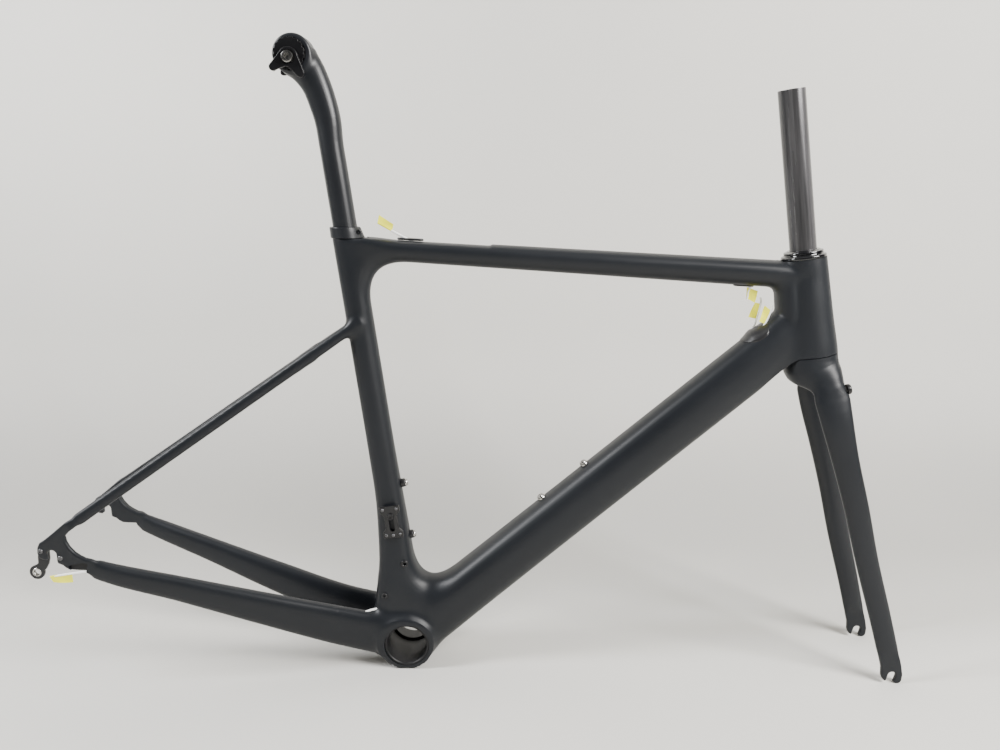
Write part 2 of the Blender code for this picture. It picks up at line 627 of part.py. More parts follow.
def build_headset(body, fork_body):
    """Two cartridge bearings, the crown race under the lower one, and the ring and cover on top."""
    sets = (("lower_bearing", 0.0040, 0.0237, 0.0172, 0.0086),
            ("upper_bearing", HEAD_TOP - 0.0072, 0.0209, 0.0156, 0.0068))
    for name, base, outer, inner, height in sets:
        edge = 0.0006
        profile = [(outer, edge), (outer, height - edge), (outer - edge, height), (inner, height), (inner, 0.0),
                   (outer - edge, 0.0)]
        turned(name, profile, STEER_SEAT + STEER_AXIS * base, STEER_AXIS, "steel", body, loop=True)
    race = [(0.0235, 0.0007), (0.0180, 0.0036), (0.0166, 0.0036), (0.0166, 0.0007)]
    turned("crown_race", race, STEER_SEAT, STEER_AXIS, "steel", fork_body, loop=True)
    top = HEAD_TOP
    cover = [(0.0234, top + 0.0005), (0.0234, top + 0.0036), (0.0216, top + 0.0062), (0.0152, top + 0.0062),
             (0.0152, top + 0.0005)]
    turned("headset_cover", cover, STEER_SEAT, STEER_AXIS, "gloss_black", fork_body, loop=True)
    ring = [(0.0205, top + 0.0065), (0.0205, top + 0.0088), (0.0192, top + 0.0100), (0.0146, top + 0.0100),
            (0.0146, top + 0.0065)]
    turned("compression_ring", ring, STEER_SEAT, STEER_AXIS, "gloss_black", fork_body, loop=True)


# ---- cable ports and liners ------------------------------------------------------------------------------
def build_ports(body, top_item, down_item):
    """Moulded covers where the cables enter and leave the tubes."""
    down_run = Vector((0.7612, 0, 0.6486))
    down_up = Vector((-0.6486, 0, 0.7612))
    port_at = side(0.3880, 0.3972)
    port_outline = [(-0.0135, -0.0090), (0.0110, -0.0090), (0.0160, 0.0), (0.0110, 0.0090), (-0.0135, 0.0090),
                    (-0.0165, 0.0)]
    port = plate("down_tube_port", port_outline, lambda u, v: port_at + down_run * u + LEFT * v, 0.0040, down_up,
                 "plastic_black", body)
    rear_at = side(0.0110, 0.5001)
    rear_run = Vector((0.9984, 0, -0.0562))
    rear_up = Vector((0.0562, 0, 0.9984))
    rear = plate("top_tube_rear_port", capsule(0.0100, 0.0045),
                 lambda u, v: rear_at + rear_run * u + LEFT * v, 0.0024, rear_up, "plastic_black", body)
    front_at = side(0.3760, 0.4512)
    front = plate("top_tube_front_port", capsule(0.0070, 0.0042),
                  lambda u, v: front_at + rear_run * u + LEFT * v, 0.0022, -rear_up, "plastic_black", body)
    return port, rear, front


def liner_routes():
    """Each liner's own points, from its front end to its rear end."""
    brake = [side(0.3880, 0.4320), side(0.3845, 0.4420), side(0.3760, 0.4560), side(0.3300, 0.4650),
             side(0.2000, 0.4745), side(0.0700, 0.4830), side(0.0300, 0.4900), side(0.0120, 0.4985),
             side(-0.0020, 0.5055), side(-0.0100, 0.5100)]
    rear_shift = [side(0.4080, 0.4285, -0.006), side(0.4020, 0.4130, -0.006), side(0.3935, 0.3950, -0.006),
                  side(0.3600, 0.3530, -0.006), side(0.2400, 0.2450, -0.010), side(0.1000, 0.1230, -0.012),
                  side(0.0430, 0.0820, -0.014), side(0.0000, 0.0760, -0.0175), side(-0.0400, 0.0700, -0.0225),
                  side(-0.0850, 0.0600, -0.0265), side(-0.1650, 0.0830, -0.0400),
                  side(-0.2510, 0.1110, -0.0540), side(-0.3200, 0.1300, -0.0660), side(-0.3440, 0.1285, -0.0700),
                  side(-0.3560, 0.1290, -0.0715), side(-0.3700, 0.1295, -0.0720)]
    front_shift = [side(0.3980, 0.4345, 0.005), side(0.3960, 0.4150, 0.005), side(0.3880, 0.3975, 0.005),
                   side(0.3600, 0.3620, 0.004), side(0.2400, 0.2560, 0.002), side(0.1000, 0.1340, 0.000)]
    return brake, rear_shift, front_shift


def build_liners(body, top_item, down_item, seat_item, chainstay, ports):
    port, rear, front = ports
    passes = ((top_item, rear, front), (port, down_item, seat_item, chainstay), (port, down_item))
    for name, route, crossed in zip(("brake_liner", "rear_shift_liner", "front_shift_liner"), liner_routes(), passes):
        swept_rod(name, route, LINER_RADIUS, "liner_white", body)
        path = hide_cutter(swept_rod(name + "_cutter", route, LINER_RADIUS + 0.0007, None))
        for item in crossed:
            cut(item, path)


def build_tape_flags(body):
    """Folded tape on each liner's loose end: its place across the part and its corners seen from the side."""
    flags = (("brake_front", 0.0030, ((0.3820, 0.4475), (0.3940, 0.4430), (0.3907, 0.4305), (0.3817, 0.4355))),
             ("brake_rear", 0.0030, ((-0.0240, 0.5250), (-0.0090, 0.5170), (-0.0100, 0.5065), (-0.0250, 0.5180))),
             ("front_shift", 0.0080, ((0.3905, 0.4310), (0.3985, 0.4280), (0.3935, 0.4120), (0.3860, 0.4140))),
             ("rear_shift_front", -0.0085, ((0.4000, 0.4280), (0.4060, 0.4260), (0.4022, 0.4088),
                                            (0.3945, 0.4128))),
             ("rear_shift_rear", -0.0745, ((-0.3925, 0.1365), (-0.3655, 0.1335), (-0.3648, 0.1220),
                                           (-0.3888, 0.1230))))
    for name, y, corners in flags:
        plate("tape_" + name, corners, lambda u, v: side(u, v, y), 0.0006, LEFT, "tape_yellow", body)


# ---- fork ------------------------------------------------------------------------------------------------
def crown_stations():
    rows = ((0.0030, 0.0000, 0.0552, 0.0540, 2.2), (-0.0100, 0.0000, 0.0555, 0.0590, 2.3),
            (-0.0220, 0.0035, 0.0490, 0.0690, 2.8), (-0.0340, 0.0085, 0.0400, 0.0755, 3.6))
    return [(steer(s, f), depth, width, power, 0.0) for s, f, depth, width, power in rows]


def tip_outline():
    """Round the front axle: a fat front lip, a thin rear one and the leaning slot between them."""
    lean = math.radians(-14)
    turn = lambda u, v: (u * math.cos(lean) - v * math.sin(lean), u * math.sin(lean) + v * math.cos(lean))
    half_slot = 0.0045
    slot = [(-half_slot, -0.0085)] + arc(0, 0, half_slot, 180, 0, 8) + [(half_slot, -0.0060)]
    rear = [(-0.0160, 0.0217), (-0.0128, 0.0100), (-0.0122, 0.0000), (-0.0100, -0.0050)]
    front = arc(0.0068, -0.0050, 0.0048, 215, 350, 5) + [(0.0121, 0.0010), (0.0100, 0.0120), (0.0057, 0.0275)]
    return rear + [turn(u, v) for u, v in slot] + front


def build_fork(body):
    profile = [(STEERER_RADIUS, 0.0120), (STEERER_RADIUS, STEERER_TOP), (STEERER_BORE, STEERER_TOP),
               (STEERER_BORE, -0.0150), (0.0160, -0.0150), (0.0160, 0.0040)]
    turned("steerer_tube", profile, STEER_SEAT, STEER_AXIS, "carbon_raw", body, count=ROUND, loop=True)

    crown = solid_tube("fork_crown", crown_stations(), "carbon_black", body)
    above = [(0.0, 0.0), (CONE_TOP, 0.0), (0.070, cone_height(0.070)), (0.070, 0.030), (0.0, 0.030)]
    cap = hide_cutter(turned("crown_top_cutter", above, STEER_SEAT, STEER_AXIS, None, count=ROUND))
    bore = [(0.0160 + GAP, -0.1), (0.0160 + GAP, 0.1)]
    socket = hide_cutter(turned("steerer_socket_cutter", bore, STEER_SEAT, STEER_AXIS, None, count=ROUND))
    arch_radius, arch_top = 0.0215, -0.0275
    arch_at = steer(arch_top - arch_radius, -0.06)
    arch = hide_cutter(rod("wheel_arch_cutter", arch_at, STEER_FORWARD, arch_radius, 0.12, None))
    cut(crown, cap, socket, arch)

    crown_solid = hide_cutter(solid_tube("crown_cutter", crown_stations(), grow=GAP))
    boss_axis = Vector((0.976, 0, 0.219))
    boss = [(0.0058, 0.0), (0.0050, 0.0028), (0.0027, 0.0028), (0.0027, -0.0060), (0.0036, -0.0060),
            (0.0036, 0.0)]
    for label, hand in (("right", -1), ("left", 1)):
        boss_at = side(0.4897, 0.3386, 0.0305 * hand)
        turned("fork_brake_boss_" + label, boss, boss_at, boss_axis, "anodised_black", body, SMALL, True)
        boss_hole = hole_cutter("brake_boss_cutter_" + label, boss_at, boss_axis, 0.0036 + GAP, 0.0140)
        blade = hollow_tube("fork_blade_" + label, blade_stations(hand), "carbon_black", body)
        cut(blade, crown_solid, boss_hole)
        cut(crown, boss_hole)
        place = lambda u, v: side(FORK_AXLE_X + u, FORK_AXLE_Z + v, FORK_HALF_GAP * hand)
        plate("fork_tip_" + label, tip_outline(), place, TIP_THICK, LEFT * hand, "carbon_black", body)


# ---- seatpost and saddle clamp ---------------------------------------------------------------------------
POST_HEAD = side(-0.1086, 0.6917)
BOLT_OFFSET = Vector((0.0005, 0, -0.0045))      # of the clamp bolt from the middle of the post head's bore
HEAD_HALF_WIDTH = 0.0130
CLAMP_RADIUS = 0.0157
RAIL_RADIUS = 0.0036


def post_stations():
    """Round in the seat tube, deepening as it sweeps back into the head."""
    straight = [(seat(s), 2 * POST_RADIUS, 2 * POST_RADIUS, 2.0, 0.0) for s in (0.360, 0.470, 0.545, 0.575)]
    rows = ((-0.0750, 0.6265, 0.0272, 0.0254), (-0.0798, 0.6450, 0.0288, 0.0256), (-0.0850, 0.6605, 0.0300, 0.0258),
            (-0.0930, 0.6760, 0.0350, 0.0260), (-0.1000, 0.6850, 0.0380, 0.0260))
    return straight + [(side(x, z), depth, width, 2.1, 0.0) for x, z, depth, width in rows]


def build_seatpost(body):
    post = hollow_tube("seatpost", post_stations(), "carbon_satin", body, wall=0.0022)
    lobe_at = side(-0.1070, 0.6920, -HEAD_HALF_WIDTH)
    edge, width = 0.0022, 2 * HEAD_HALF_WIDTH
    radius = 0.0207
    profile = [(0.0, 0.0), (radius - edge, 0.0), (radius, edge), (radius, width - edge), (radius - edge, width),
               (0.0, width)]
    lobe = hide_cutter(turned("post_lobe", profile, lobe_at, LEFT, None, count=ROUND))
    join(post, lobe)
    bore = [(CLAMP_RADIUS + GAP, -0.03), (CLAMP_RADIUS + GAP, 0.03)]
    cut(post, hide_cutter(turned("post_bore_cutter", bore, POST_HEAD, LEFT, None, count=ROUND)))


def toothed_outline(radius, depth, teeth):
    rows = []
    for i in range(teeth):
        for part_turn, drop in ((0.0, depth), (0.3, 0.0), (0.6, 0.0), (0.9, depth)):
            angle = 2 * math.pi * (i + part_turn) / teeth
            rows.append(((radius - drop) * math.cos(angle), (radius - drop) * math.sin(angle)))
    return rows


JAW_ARMS = ((211, 0.0187), (307, 0.0200))       # direction in degrees and reach of each jaw arm


def jaw_outline():
    """A round middle with two arms below it, whose ends hold a saddle rail."""
    end, middle = 0.0042, 0.0100
    (rear, rear_reach), (front, front_reach) = JAW_ARMS
    rear_tip = (rear_reach * math.cos(math.radians(rear)), rear_reach * math.sin(math.radians(rear)))
    front_tip = (front_reach * math.cos(math.radians(front)), front_reach * math.sin(math.radians(front)))
    points = arc(0, 0, middle, front + 62, rear + 360 - 62, 10)
    points += arc(*rear_tip, end, rear - 80, rear + 80, 6)
    points += arc(0, 0, middle, rear + 38, front - 38, 2)
    points += arc(*front_tip, end, front - 80, front + 80, 6)
    return points, rear_tip, front_tip


def build_clamp(body):
    """A barrel through the post head, a toothed cradle and a jaw on each side, and the bolt and nut."""
    middle = POST_HEAD + BOLT_OFFSET
    bolt_radius, half_barrel = 0.0034, 0.0135
    barrel = rod("clamp_barrel", POST_HEAD - LEFT * half_barrel, LEFT, CLAMP_RADIUS - GAP, 2 * half_barrel,
                 "anodised_black", body)
    hole = hole_cutter("clamp_bolt_cutter", middle, LEFT, bolt_radius + GAP, 0.08)
    cut(barrel, hole)
    outline, rear_tip, front_tip = jaw_outline()
    rail = Vector((front_tip[0] - rear_tip[0], 0, front_tip[1] - rear_tip[1])).normalized()
    for label, hand in (("right", -1), ("left", 1)):
        cradle = plate("clamp_cradle_" + label, toothed_outline(CLAMP_RADIUS + 0.0008, 0.0011, 12),
                       lambda u, v: POST_HEAD + Vector((u, 0.0138 * hand, v)), 0.0042, LEFT * hand,
                       "anodised_black", body)
        jaw = plate("clamp_jaw_" + label, outline, lambda u, v: middle + Vector((u, 0.0183 * hand, v)), 0.0062,
                    LEFT * hand, "anodised_black", body)
        rail_at = middle + Vector((rear_tip[0], 0.0190 * hand, rear_tip[1]))
        rail_cutter = hole_cutter("rail_cutter_" + label, rail_at, rail, RAIL_RADIUS, 0.10)
        cut(cradle, hole)
        cut(jaw, hole, rail_cutter)
    head, face = 0.0064, 0.0248
    bolt = [(0.0, face + 0.0046), (head * 0.8, face + 0.0046), (head, face + 0.0036), (head, face),
            (bolt_radius, face), (bolt_radius, -face - 0.0030), (0.0, -face - 0.0030)]
    turned("clamp_bolt", bolt, middle, -LEFT, "steel", body)
    nut = [(0.0062, face), (0.0062, face + 0.0040), (0.0044, face + 0.0040), (0.0044, face)]
    turned("clamp_nut", nut, middle, LEFT, "steel", body, count=6, loop=True)


def main():
    clear_scene()
    frame = add_empty("frame_body", Vector((0, 0, 0)))
    fork = add_empty("fork_body", STEER_SEAT)
    post = add_empty("post_body", SEAT_FOOT)
    clamp = add_empty("clamp_body", POST_HEAD)
    seat_item, top_item, down_item, stays = build_main_frame(frame)
    build_hanger(frame, stays["right"][3])
    build_bottle_bosses(frame, seat_item, down_item)
    build_front_derailleur_mount(frame)
    build_seat_insert(frame, seat_item)
    build_seat_collar(frame)
    build_headset(frame, fork)
    ports = build_ports(frame, top_item, down_item)
    build_liners(frame, top_item, down_item, seat_item, stays["right"][0], ports)
    build_tape_flags(frame)
    build_fork(fork)
    build_seatpost(post)
    build_clamp(clamp)


main()
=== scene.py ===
import json
import math

import bmesh
import bpy
import numpy as np
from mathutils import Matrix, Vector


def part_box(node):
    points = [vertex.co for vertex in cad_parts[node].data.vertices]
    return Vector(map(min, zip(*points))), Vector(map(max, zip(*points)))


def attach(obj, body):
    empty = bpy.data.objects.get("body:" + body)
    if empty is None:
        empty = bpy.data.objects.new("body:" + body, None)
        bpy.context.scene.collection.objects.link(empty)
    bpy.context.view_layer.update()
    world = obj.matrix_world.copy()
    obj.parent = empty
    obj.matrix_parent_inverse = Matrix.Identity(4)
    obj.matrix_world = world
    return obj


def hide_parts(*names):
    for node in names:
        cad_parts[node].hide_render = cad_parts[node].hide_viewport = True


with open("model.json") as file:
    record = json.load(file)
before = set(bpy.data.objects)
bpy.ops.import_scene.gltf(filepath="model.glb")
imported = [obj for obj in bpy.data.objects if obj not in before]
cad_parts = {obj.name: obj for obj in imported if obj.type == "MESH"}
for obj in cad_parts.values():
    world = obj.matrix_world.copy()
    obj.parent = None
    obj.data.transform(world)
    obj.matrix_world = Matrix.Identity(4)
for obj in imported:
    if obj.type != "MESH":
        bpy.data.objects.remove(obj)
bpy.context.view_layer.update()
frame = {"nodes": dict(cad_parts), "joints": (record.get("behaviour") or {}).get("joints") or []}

import openvdb
from mathutils import Matrix, Vector

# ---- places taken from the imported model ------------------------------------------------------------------
JOINTS = {joint["name"]: joint for joint in frame["joints"]}
BB_LOW, BB_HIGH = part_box("bottom_bracket_shell")
BB_X = (BB_LOW.x + BB_HIGH.x) / 2
BB_Z = (BB_LOW.z + BB_HIGH.z) / 2
LEFT = Vector((0, 1, 0))
STEER_SEAT = Vector(JOINTS["fork_steering"]["pos_m"])
STEER_AXIS = Vector(JOINTS["fork_steering"]["axis"]).normalized()
STEER_FORWARD = LEFT.cross(STEER_AXIS)
SEAT_AXIS = Vector(JOINTS["seatpost_height"]["axis"]).normalized()
SEAT_FORWARD = LEFT.cross(SEAT_AXIS)
SEAT_FOOT = Vector((BB_X + 0.0024, 0, BB_Z))
POST_HEAD = Vector(JOINTS["saddle_clamp_tilt"]["pos_m"])
REAR_AXLE = (-0.3880, 0.1580)
FORK_AXLE = (0.5578, 0.0098)
HEAD_TOP = 0.1095
SEAT_TOP = 0.4745
SEAM_RADIUS, SEAM_TOP = 0.0310, 0.0035
CROWN_GAP = 0.0009


def side(x, z, y=0.0):
    """A point forward of the bottom bracket axis, above the floor and left of the middle plane."""
    return Vector((BB_X + x, y, z))


def steer(along, forward=0.0, y=0.0):
    return STEER_SEAT + STEER_AXIS * along + STEER_FORWARD * forward + LEFT * y


def seat(along, forward=0.0, y=0.0):
    return SEAT_FOOT + SEAT_AXIS * along + SEAT_FORWARD * forward + LEFT * y


# ---- distance fields -------------------------------------------------------------------------------------
FAR = 0.05


class Block:
    """A box of evenly spaced sample points, from low to high."""

    def __init__(self, low, high, step):
        self.low, self.step = np.array(low, float), step
        self.shape = tuple(int(math.ceil((h - l) / step)) + 1 for l, h in zip(low, high))
        axes = [l + step * np.arange(n) for l, n in zip(low, self.shape)]
        self.x = axes[0][:, None, None]
        self.y = axes[1][None, :, None]
        self.z = axes[2][None, None, :]

    def empty(self):
        return np.full(self.shape, FAR)

    def window(self, low, high):
        """Index ranges of the samples between two corners, or None."""
        first = np.floor((np.array(low) - self.low) / self.step).astype(int)
        last = np.ceil((np.array(high) - self.low) / self.step).astype(int) + 1
        first = np.clip(first, 0, self.shape)
        last = np.clip(last, 0, self.shape)
        if np.any(last - first < 1):
            return None
        return tuple(slice(a, b) for a, b in zip(first, last))


def union(a, b, blend):
    """The smaller of two distances, with a fillet where they are alike."""
    near = np.maximum(blend - np.abs(a - b), 0) / blend
    return np.minimum(a, b) - near * near * blend / 4


def carve(a, b, blend):
    """Takes the inside of b out of a, with a rounded edge."""
    near = np.maximum(blend - np.abs(a + b), 0) / blend
    return np.maximum(a, -b) + near * near * blend / 4


def resample(rows, spacing):
    """Smoothly fills in the rows (x, y, z, then sizes) at an even spacing."""
    rows = np.array(rows, float)
    run = np.r_[0, np.cumsum(np.linalg.norm(np.diff(rows[:, :3], axis=0), axis=1))]
    slope = np.gradient(rows, run, axis=0)
    places = np.linspace(0, run[-1], max(3, int(run[-1] / spacing) + 1))
    i = np.clip(np.searchsorted(run, places, "right") - 1, 0, len(run) - 2)
    span = (run[i + 1] - run[i])[:, None]
    t = (places - run[i])[:, None] / span
    return (rows[i] * (2 * t ** 3 - 3 * t ** 2 + 1) + slope[i] * span * (t ** 3 - 2 * t ** 2 + t)
            + rows[i + 1] * (3 * t ** 2 - 2 * t ** 3) + slope[i + 1] * span * (t ** 3 - t ** 2))


def unit(v):
    return v / np.linalg.norm(v, axis=-1, keepdims=True)


def section_distance(u, v, half_wide, half_deep, power, taper):
    """Distance from a superellipse, close to its outline."""
    wide = half_wide * (1 + taper * np.clip(v / half_deep, -1.2, 1.2))
    a, b = np.abs(u) / wide + 1e-6, np.abs(v) / half_deep + 1e-6
    reach = (a ** power + b ** power) ** (1 / power)
    slope = reach ** (1 - power) * np.sqrt((a ** (power - 1) / wide) ** 2
                                           + (b ** (power - 1) / half_deep) ** 2)
    return (reach - 1) / slope


def tube(block, rows, margin=0.014):
    """Distance from a tube through rows of (centre, depth, width, power, taper)."""
    out = block.empty()
    rows = resample([(*centre, *sizes) for centre, *sizes in rows], 0.008)
    centres = rows[:, :3]
    runs = unit(np.gradient(centres, axis=0))
    wides = unit(np.array(LEFT) - runs * runs[:, 1:2])
    deeps = -np.cross(runs, wides)
    last = len(rows) - 2
    for i in range(last + 1):
        a, b = centres[i], centres[i + 1]
        room = rows[i:i + 2, 3:5].max() * 0.75 + margin
        window = block.window(np.minimum(a, b) - room, np.maximum(a, b) + room)
        if window is None:
            continue
        x, y, z = block.x[window[0]], block.y[:, window[1]], block.z[:, :, window[2]]
        before = (x - a[0]) * runs[i][0] + (y - a[1]) * runs[i][1] + (z - a[2]) * runs[i][2]
        after = (b[0] - x) * runs[i + 1][0] + (b[1] - y) * runs[i + 1][1] + (b[2] - z) * runs[i + 1][2]
        t = np.clip(before / np.maximum(before + after, 1e-9), 0, 1)
        mix = lambda low, high: low + (high - low) * t
        dx, dy, dz = x - mix(a[0], b[0]), y - mix(a[1], b[1]), z - mix(a[2], b[2])
        u = dx * mix(wides[i][0], wides[i + 1][0]) + dy * mix(wides[i][1], wides[i + 1][1]) \
            + dz * mix(wides[i][2], wides[i + 1][2])
        v = dx * mix(deeps[i][0], deeps[i + 1][0]) + dy * mix(deeps[i][1], deeps[i + 1][1]) \
            + dz * mix(deeps[i][2], deeps[i + 1][2])
        sizes = [mix(rows[i][k], rows[i + 1][k]) for k in (4, 3, 5, 6)]
        d = section_distance(u, v, sizes[0] / 2, sizes[1] / 2, sizes[2], sizes[3])
        for beyond, end in ((-before, i == 0), (-after, i == last)):
            capped = np.hypot(np.maximum(d, 0), beyond) if end else FAR
            d = np.where(beyond > 1e-7, capped, d)
        out[window] = np.minimum(out[window], d)
    return out


def rod_distance(block, at, axis, radius, low=-FAR * 10, high=FAR * 10):
    """Distance from a cylinder along the axis, between two heights."""
    dx, dy, dz = block.x - at[0], block.y - at[1], block.z - at[2]
    along = dx * axis[0] + dy * axis[1] + dz * axis[2]
    across = np.sqrt(np.maximum(dx * dx + dy * dy + dz * dz - along * along, 0))
    return np.maximum(across - radius, np.maximum(low - along, along - high))


def polygon_distance(x, z, outline):
    """Signed distance in a plane from a closed outline."""
    best = np.full(np.broadcast(x, z).shape, FAR)
    inside = np.zeros(best.shape, bool)
    for (ax, az), (bx, bz) in zip(outline, outline[1:] + outline[:1]):
        ex, ez = bx - ax, bz - az
        t = np.clip(((x - ax) * ex + (z - az) * ez) / (ex * ex + ez * ez), 0, 1)
        best = np.minimum(best, np.hypot(x - ax - ex * t, z - az - ez * t))
        crosses = (az > z) != (bz > z)
        inside ^= crosses & (x < ax + ex * (z - az) / (ez if abs(ez) > 1e-12 else 1e-12))
    return np.where(inside, -best, best)


def extruded(block, flat, low, high, edge):
    """A flat outline's distance given a thickness along Y, with rounded edges."""
    across = np.abs(block.y - (low + high) / 2) - (high - low) / 2 + edge
    flat = flat + edge
    outside = np.hypot(np.maximum(flat, 0), np.maximum(across, 0))
    return outside + np.minimum(np.maximum(flat, across), 0) - edge


# ---- shape of the moulded frame --------------------------------------------------------------------------
def top_rows():
    rows = ((-0.040, 0.4904, 0.0244, 0.033), (-0.022, 0.4893, 0.0244, 0.033), (0.060, 0.4843, 0.0252, 0.034),
            (0.200, 0.4757, 0.0268, 0.035), (0.330, 0.4677, 0.0286, 0.037), (0.440, 0.4611, 0.0298, 0.040))
    return [(side(x, z), depth, width, 2.3, 0.12) for x, z, depth, width in rows]


def down_rows():
    rows = ((0.004, 0.0322, 0.0610, 0.058), (0.085, 0.1014, 0.0590, 0.054), (0.200, 0.1994, 0.0575, 0.049),
            (0.300, 0.2846, 0.0570, 0.047), (0.380, 0.3528, 0.0565, 0.046), (0.4200, 0.3869, 0.0560, 0.044))
    return [(side(x, z), depth, width, 2.5, 0.0) for x, z, depth, width in rows]


def seat_rows():
    rows = ((0.002, 0.0, 0.0520, 0.058, 3.0), (0.056, -0.0068, 0.0512, 0.056, 3.0),
            (0.094, -0.0036, 0.0412, 0.047, 2.8), (0.130, -0.0015, 0.0365, 0.040, 2.6),
            (0.170, 0.0, 0.0325, 0.035, 2.4), (0.230, 0.0, 0.0308, 0.032, 2.1),
            (0.300, 0.0, 0.0306, 0.031, 2.0), (SEAT_TOP + 0.01, 0.0, 0.0306, 0.0306, 2.0))
    return [(seat(s, f), depth, width, power, 0.0) for s, f, depth, width, power in rows]


def web_rows():
    """The short upright wall between the top and down tubes, behind the head tube."""
    spots = ((0.4287, 0.4100), (0.4276, 0.4300), (0.4240, 0.4550))
    return [(side(x, z), 0.0280, 0.0400, 2.6, 0.0) for x, z in spots]


def head_rows():
    rows = ((-0.012, 0.0285), (0.006, 0.0287), (0.014, 0.0284), (0.035, 0.0270), (0.080, 0.0252),
            (HEAD_TOP + 0.008, 0.0239))
    return [(steer(s), 2 * r, 2 * r, 2.0, 0.0) for s, r in rows]


def handed(rows, hand, power):
    return [(side(x, z, y * hand), depth, width, power, 0.0) for x, z, y, depth, width in rows]


def chainstay_rows(hand):
    near_y = 0.0215 if hand < 0 else 0.0300
    mid_y = 0.0265 if hand < 0 else 0.0310
    low = 0.0012 * hand
    rows = ((-0.3620, 0.1490, 0.0712, 0.0200, 0.0070), (-0.3515, 0.1448, 0.0690, 0.0205, 0.0085),
            (-0.335, 0.1382, 0.0675, 0.0222, 0.0125),
            (-0.251, 0.1097, 0.0540, 0.0290, 0.0170), (-0.165, 0.0800, 0.0400, 0.0380, 0.0200),
            (-0.085, 0.0529, mid_y, 0.0455 - low, 0.0205), (-0.006, 0.0336, near_y, 0.0488 - low, 0.0220))
    return handed(rows, hand, 2.7)


def seatstay_rows(hand):
    rows = ((-0.3740, 0.1850, 0.0712, 0.0136, 0.0066), (-0.3640, 0.1921, 0.0684, 0.0134, 0.0080),
            (-0.345, 0.2053, 0.0640, 0.0132, 0.0095), (-0.289, 0.2438, 0.0520, 0.0130, 0.0100),
            (-0.178, 0.3200, 0.0310, 0.0130, 0.0104),
            (-0.075, 0.3905, 0.0145, 0.0124, 0.0110), (-0.047, 0.4095, 0.0085, 0.0115, 0.0110))
    return handed(rows, hand, 2.2)


def flat_element(x, z, rows):
    """A tube seen from the side: distance, half depth, half width, power and taper at each (x, z)."""
    rows = resample([(*centre, *sizes) for centre, *sizes in rows], 0.012)
    best = np.full(np.broadcast(x, z).shape, 10.0)
    found = np.zeros((4,) + best.shape)
    for low, high in zip(rows, rows[1:]):
        ex, ez = high[0] - low[0], high[2] - low[2]
        length = math.hypot(ex, ez)
        t = np.clip(((x - low[0]) * ex + (z - low[2]) * ez) / length ** 2, 0, 1)
        px, pz = x - low[0] - ex * t, z - low[2] - ez * t
        away = np.hypot(px, pz)
        over = (px * -ez + pz * ex) / length
        if ex < 0:
            over = -over
        depth, wide, power, taper = (low[k] + (high[k] - low[k]) * t for k in (3, 4, 5, 6))
        closer = away < best
        best = np.where(closer, away, best)
        values = (depth / 2, wide / 2, power, taper * np.clip(over / (depth / 2), -1.2, 1.2))
        found = np.where(closer, np.stack(np.broadcast_arrays(*values)), found)
    return best - found[0], found


def front_triangle(block):
    """The top, down, seat and head tubes as one moulding."""
    x, z = block.x[:, 0, :], block.z[0, :, :]
    all_rows = (top_rows, seat_rows, down_rows, head_rows)
    top, seat_part, down, head = (flat_element(x, z, rows()) for rows in all_rows)
    web = flat_element(x, z, web_rows())
    tubes = (top, seat_part, down, head, web)
    ahead = (x - SEAT_FOOT[0]) * SEAT_FORWARD[0] + (z - SEAT_FOOT[2]) * SEAT_FORWARD[2]
    flat = union(seat_part[0], top[0], 0.050)
    share = eased(ahead, 0.008)
    flat = flat * share + seat_part[0] * (1 - share)
    low, soft = np.minimum(seat_part[0], down[0]), union(seat_part[0], down[0], 0.051)
    flat = np.minimum(flat, low + (soft - low) * eased(z - BB_Z - 0.022, 0.016))
    flat = np.minimum(flat, union(head[0], down[0], 0.033))
    flat = np.minimum(flat, union(head[0], top[0], 0.005))
    flat = np.minimum(flat, union(union(top[0], web[0], 0.010), down[0], 0.009))
    nearest = np.minimum.reduce([part[0] for part in tubes])
    shares = [np.exp(-(part[0] - nearest) / 0.007) for part in tubes]
    total = sum(shares)
    deep, wide, power, taper = sum(share * part[1] for share, part in zip(shares, tubes)) / total
    deep, wide, power, taper = (v[:, None, :] for v in (deep, wide, power, taper))
    s = np.maximum(1 + flat[:, None, :] / deep, 0) + 1e-6
    wide = wide * (1 + taper)
    a = np.abs(block.y) / wide + 1e-6
    reach = (s ** power + a ** power) ** (1 / power)
    slope = reach ** (1 - power) * np.sqrt((s ** (power - 1) / deep) ** 2 + (a ** (power - 1) / wide) ** 2)
    distance = np.clip((reach - 1) / slope, -FAR, FAR)
    run = unit(np.array([0.082, -0.0050]))
    over = (block.z - 0.4896) * run[0] - (block.x - BB_X + 0.022) * run[1] - 0.0118
    return np.where(block.x < BB_X + 0.10, carve(distance, -over, 0.005), distance)


DROPOUT = [(0.0363, 0.0496), (0.0206, 0.0388), (0.0046, 0.0256), (-0.0042, 0.0186), (-0.0105, 0.0147),
           (-0.0131, 0.0093), (-0.0138, 0.0030), (-0.0125, -0.0020), (-0.0085, -0.0045), (-0.0050, -0.0050),
           (0.0066, -0.0075), (0.0088, -0.0093), (0.0137, -0.0112), (0.0164, -0.0140), (0.0212, -0.0168),
           (0.0293, -0.0174), (0.0382, -0.0176), (0.0389, -0.0203), (0.0434, -0.0232), (0.0518, -0.0271),
           (0.0580, -0.0075), (0.0511, -0.0051), (0.0396, -0.0029), (0.0340, 0.0002), (0.0286, 0.0041),
           (0.0234, 0.0103), (0.0204, 0.0165), (0.0193, 0.0234), (0.0238, 0.0281), (0.0349, 0.0358)]


def eased(value, half):
    t = np.clip(value / (2 * half) + 0.5, 0, 1)
    return t * t * (3 - 2 * t)


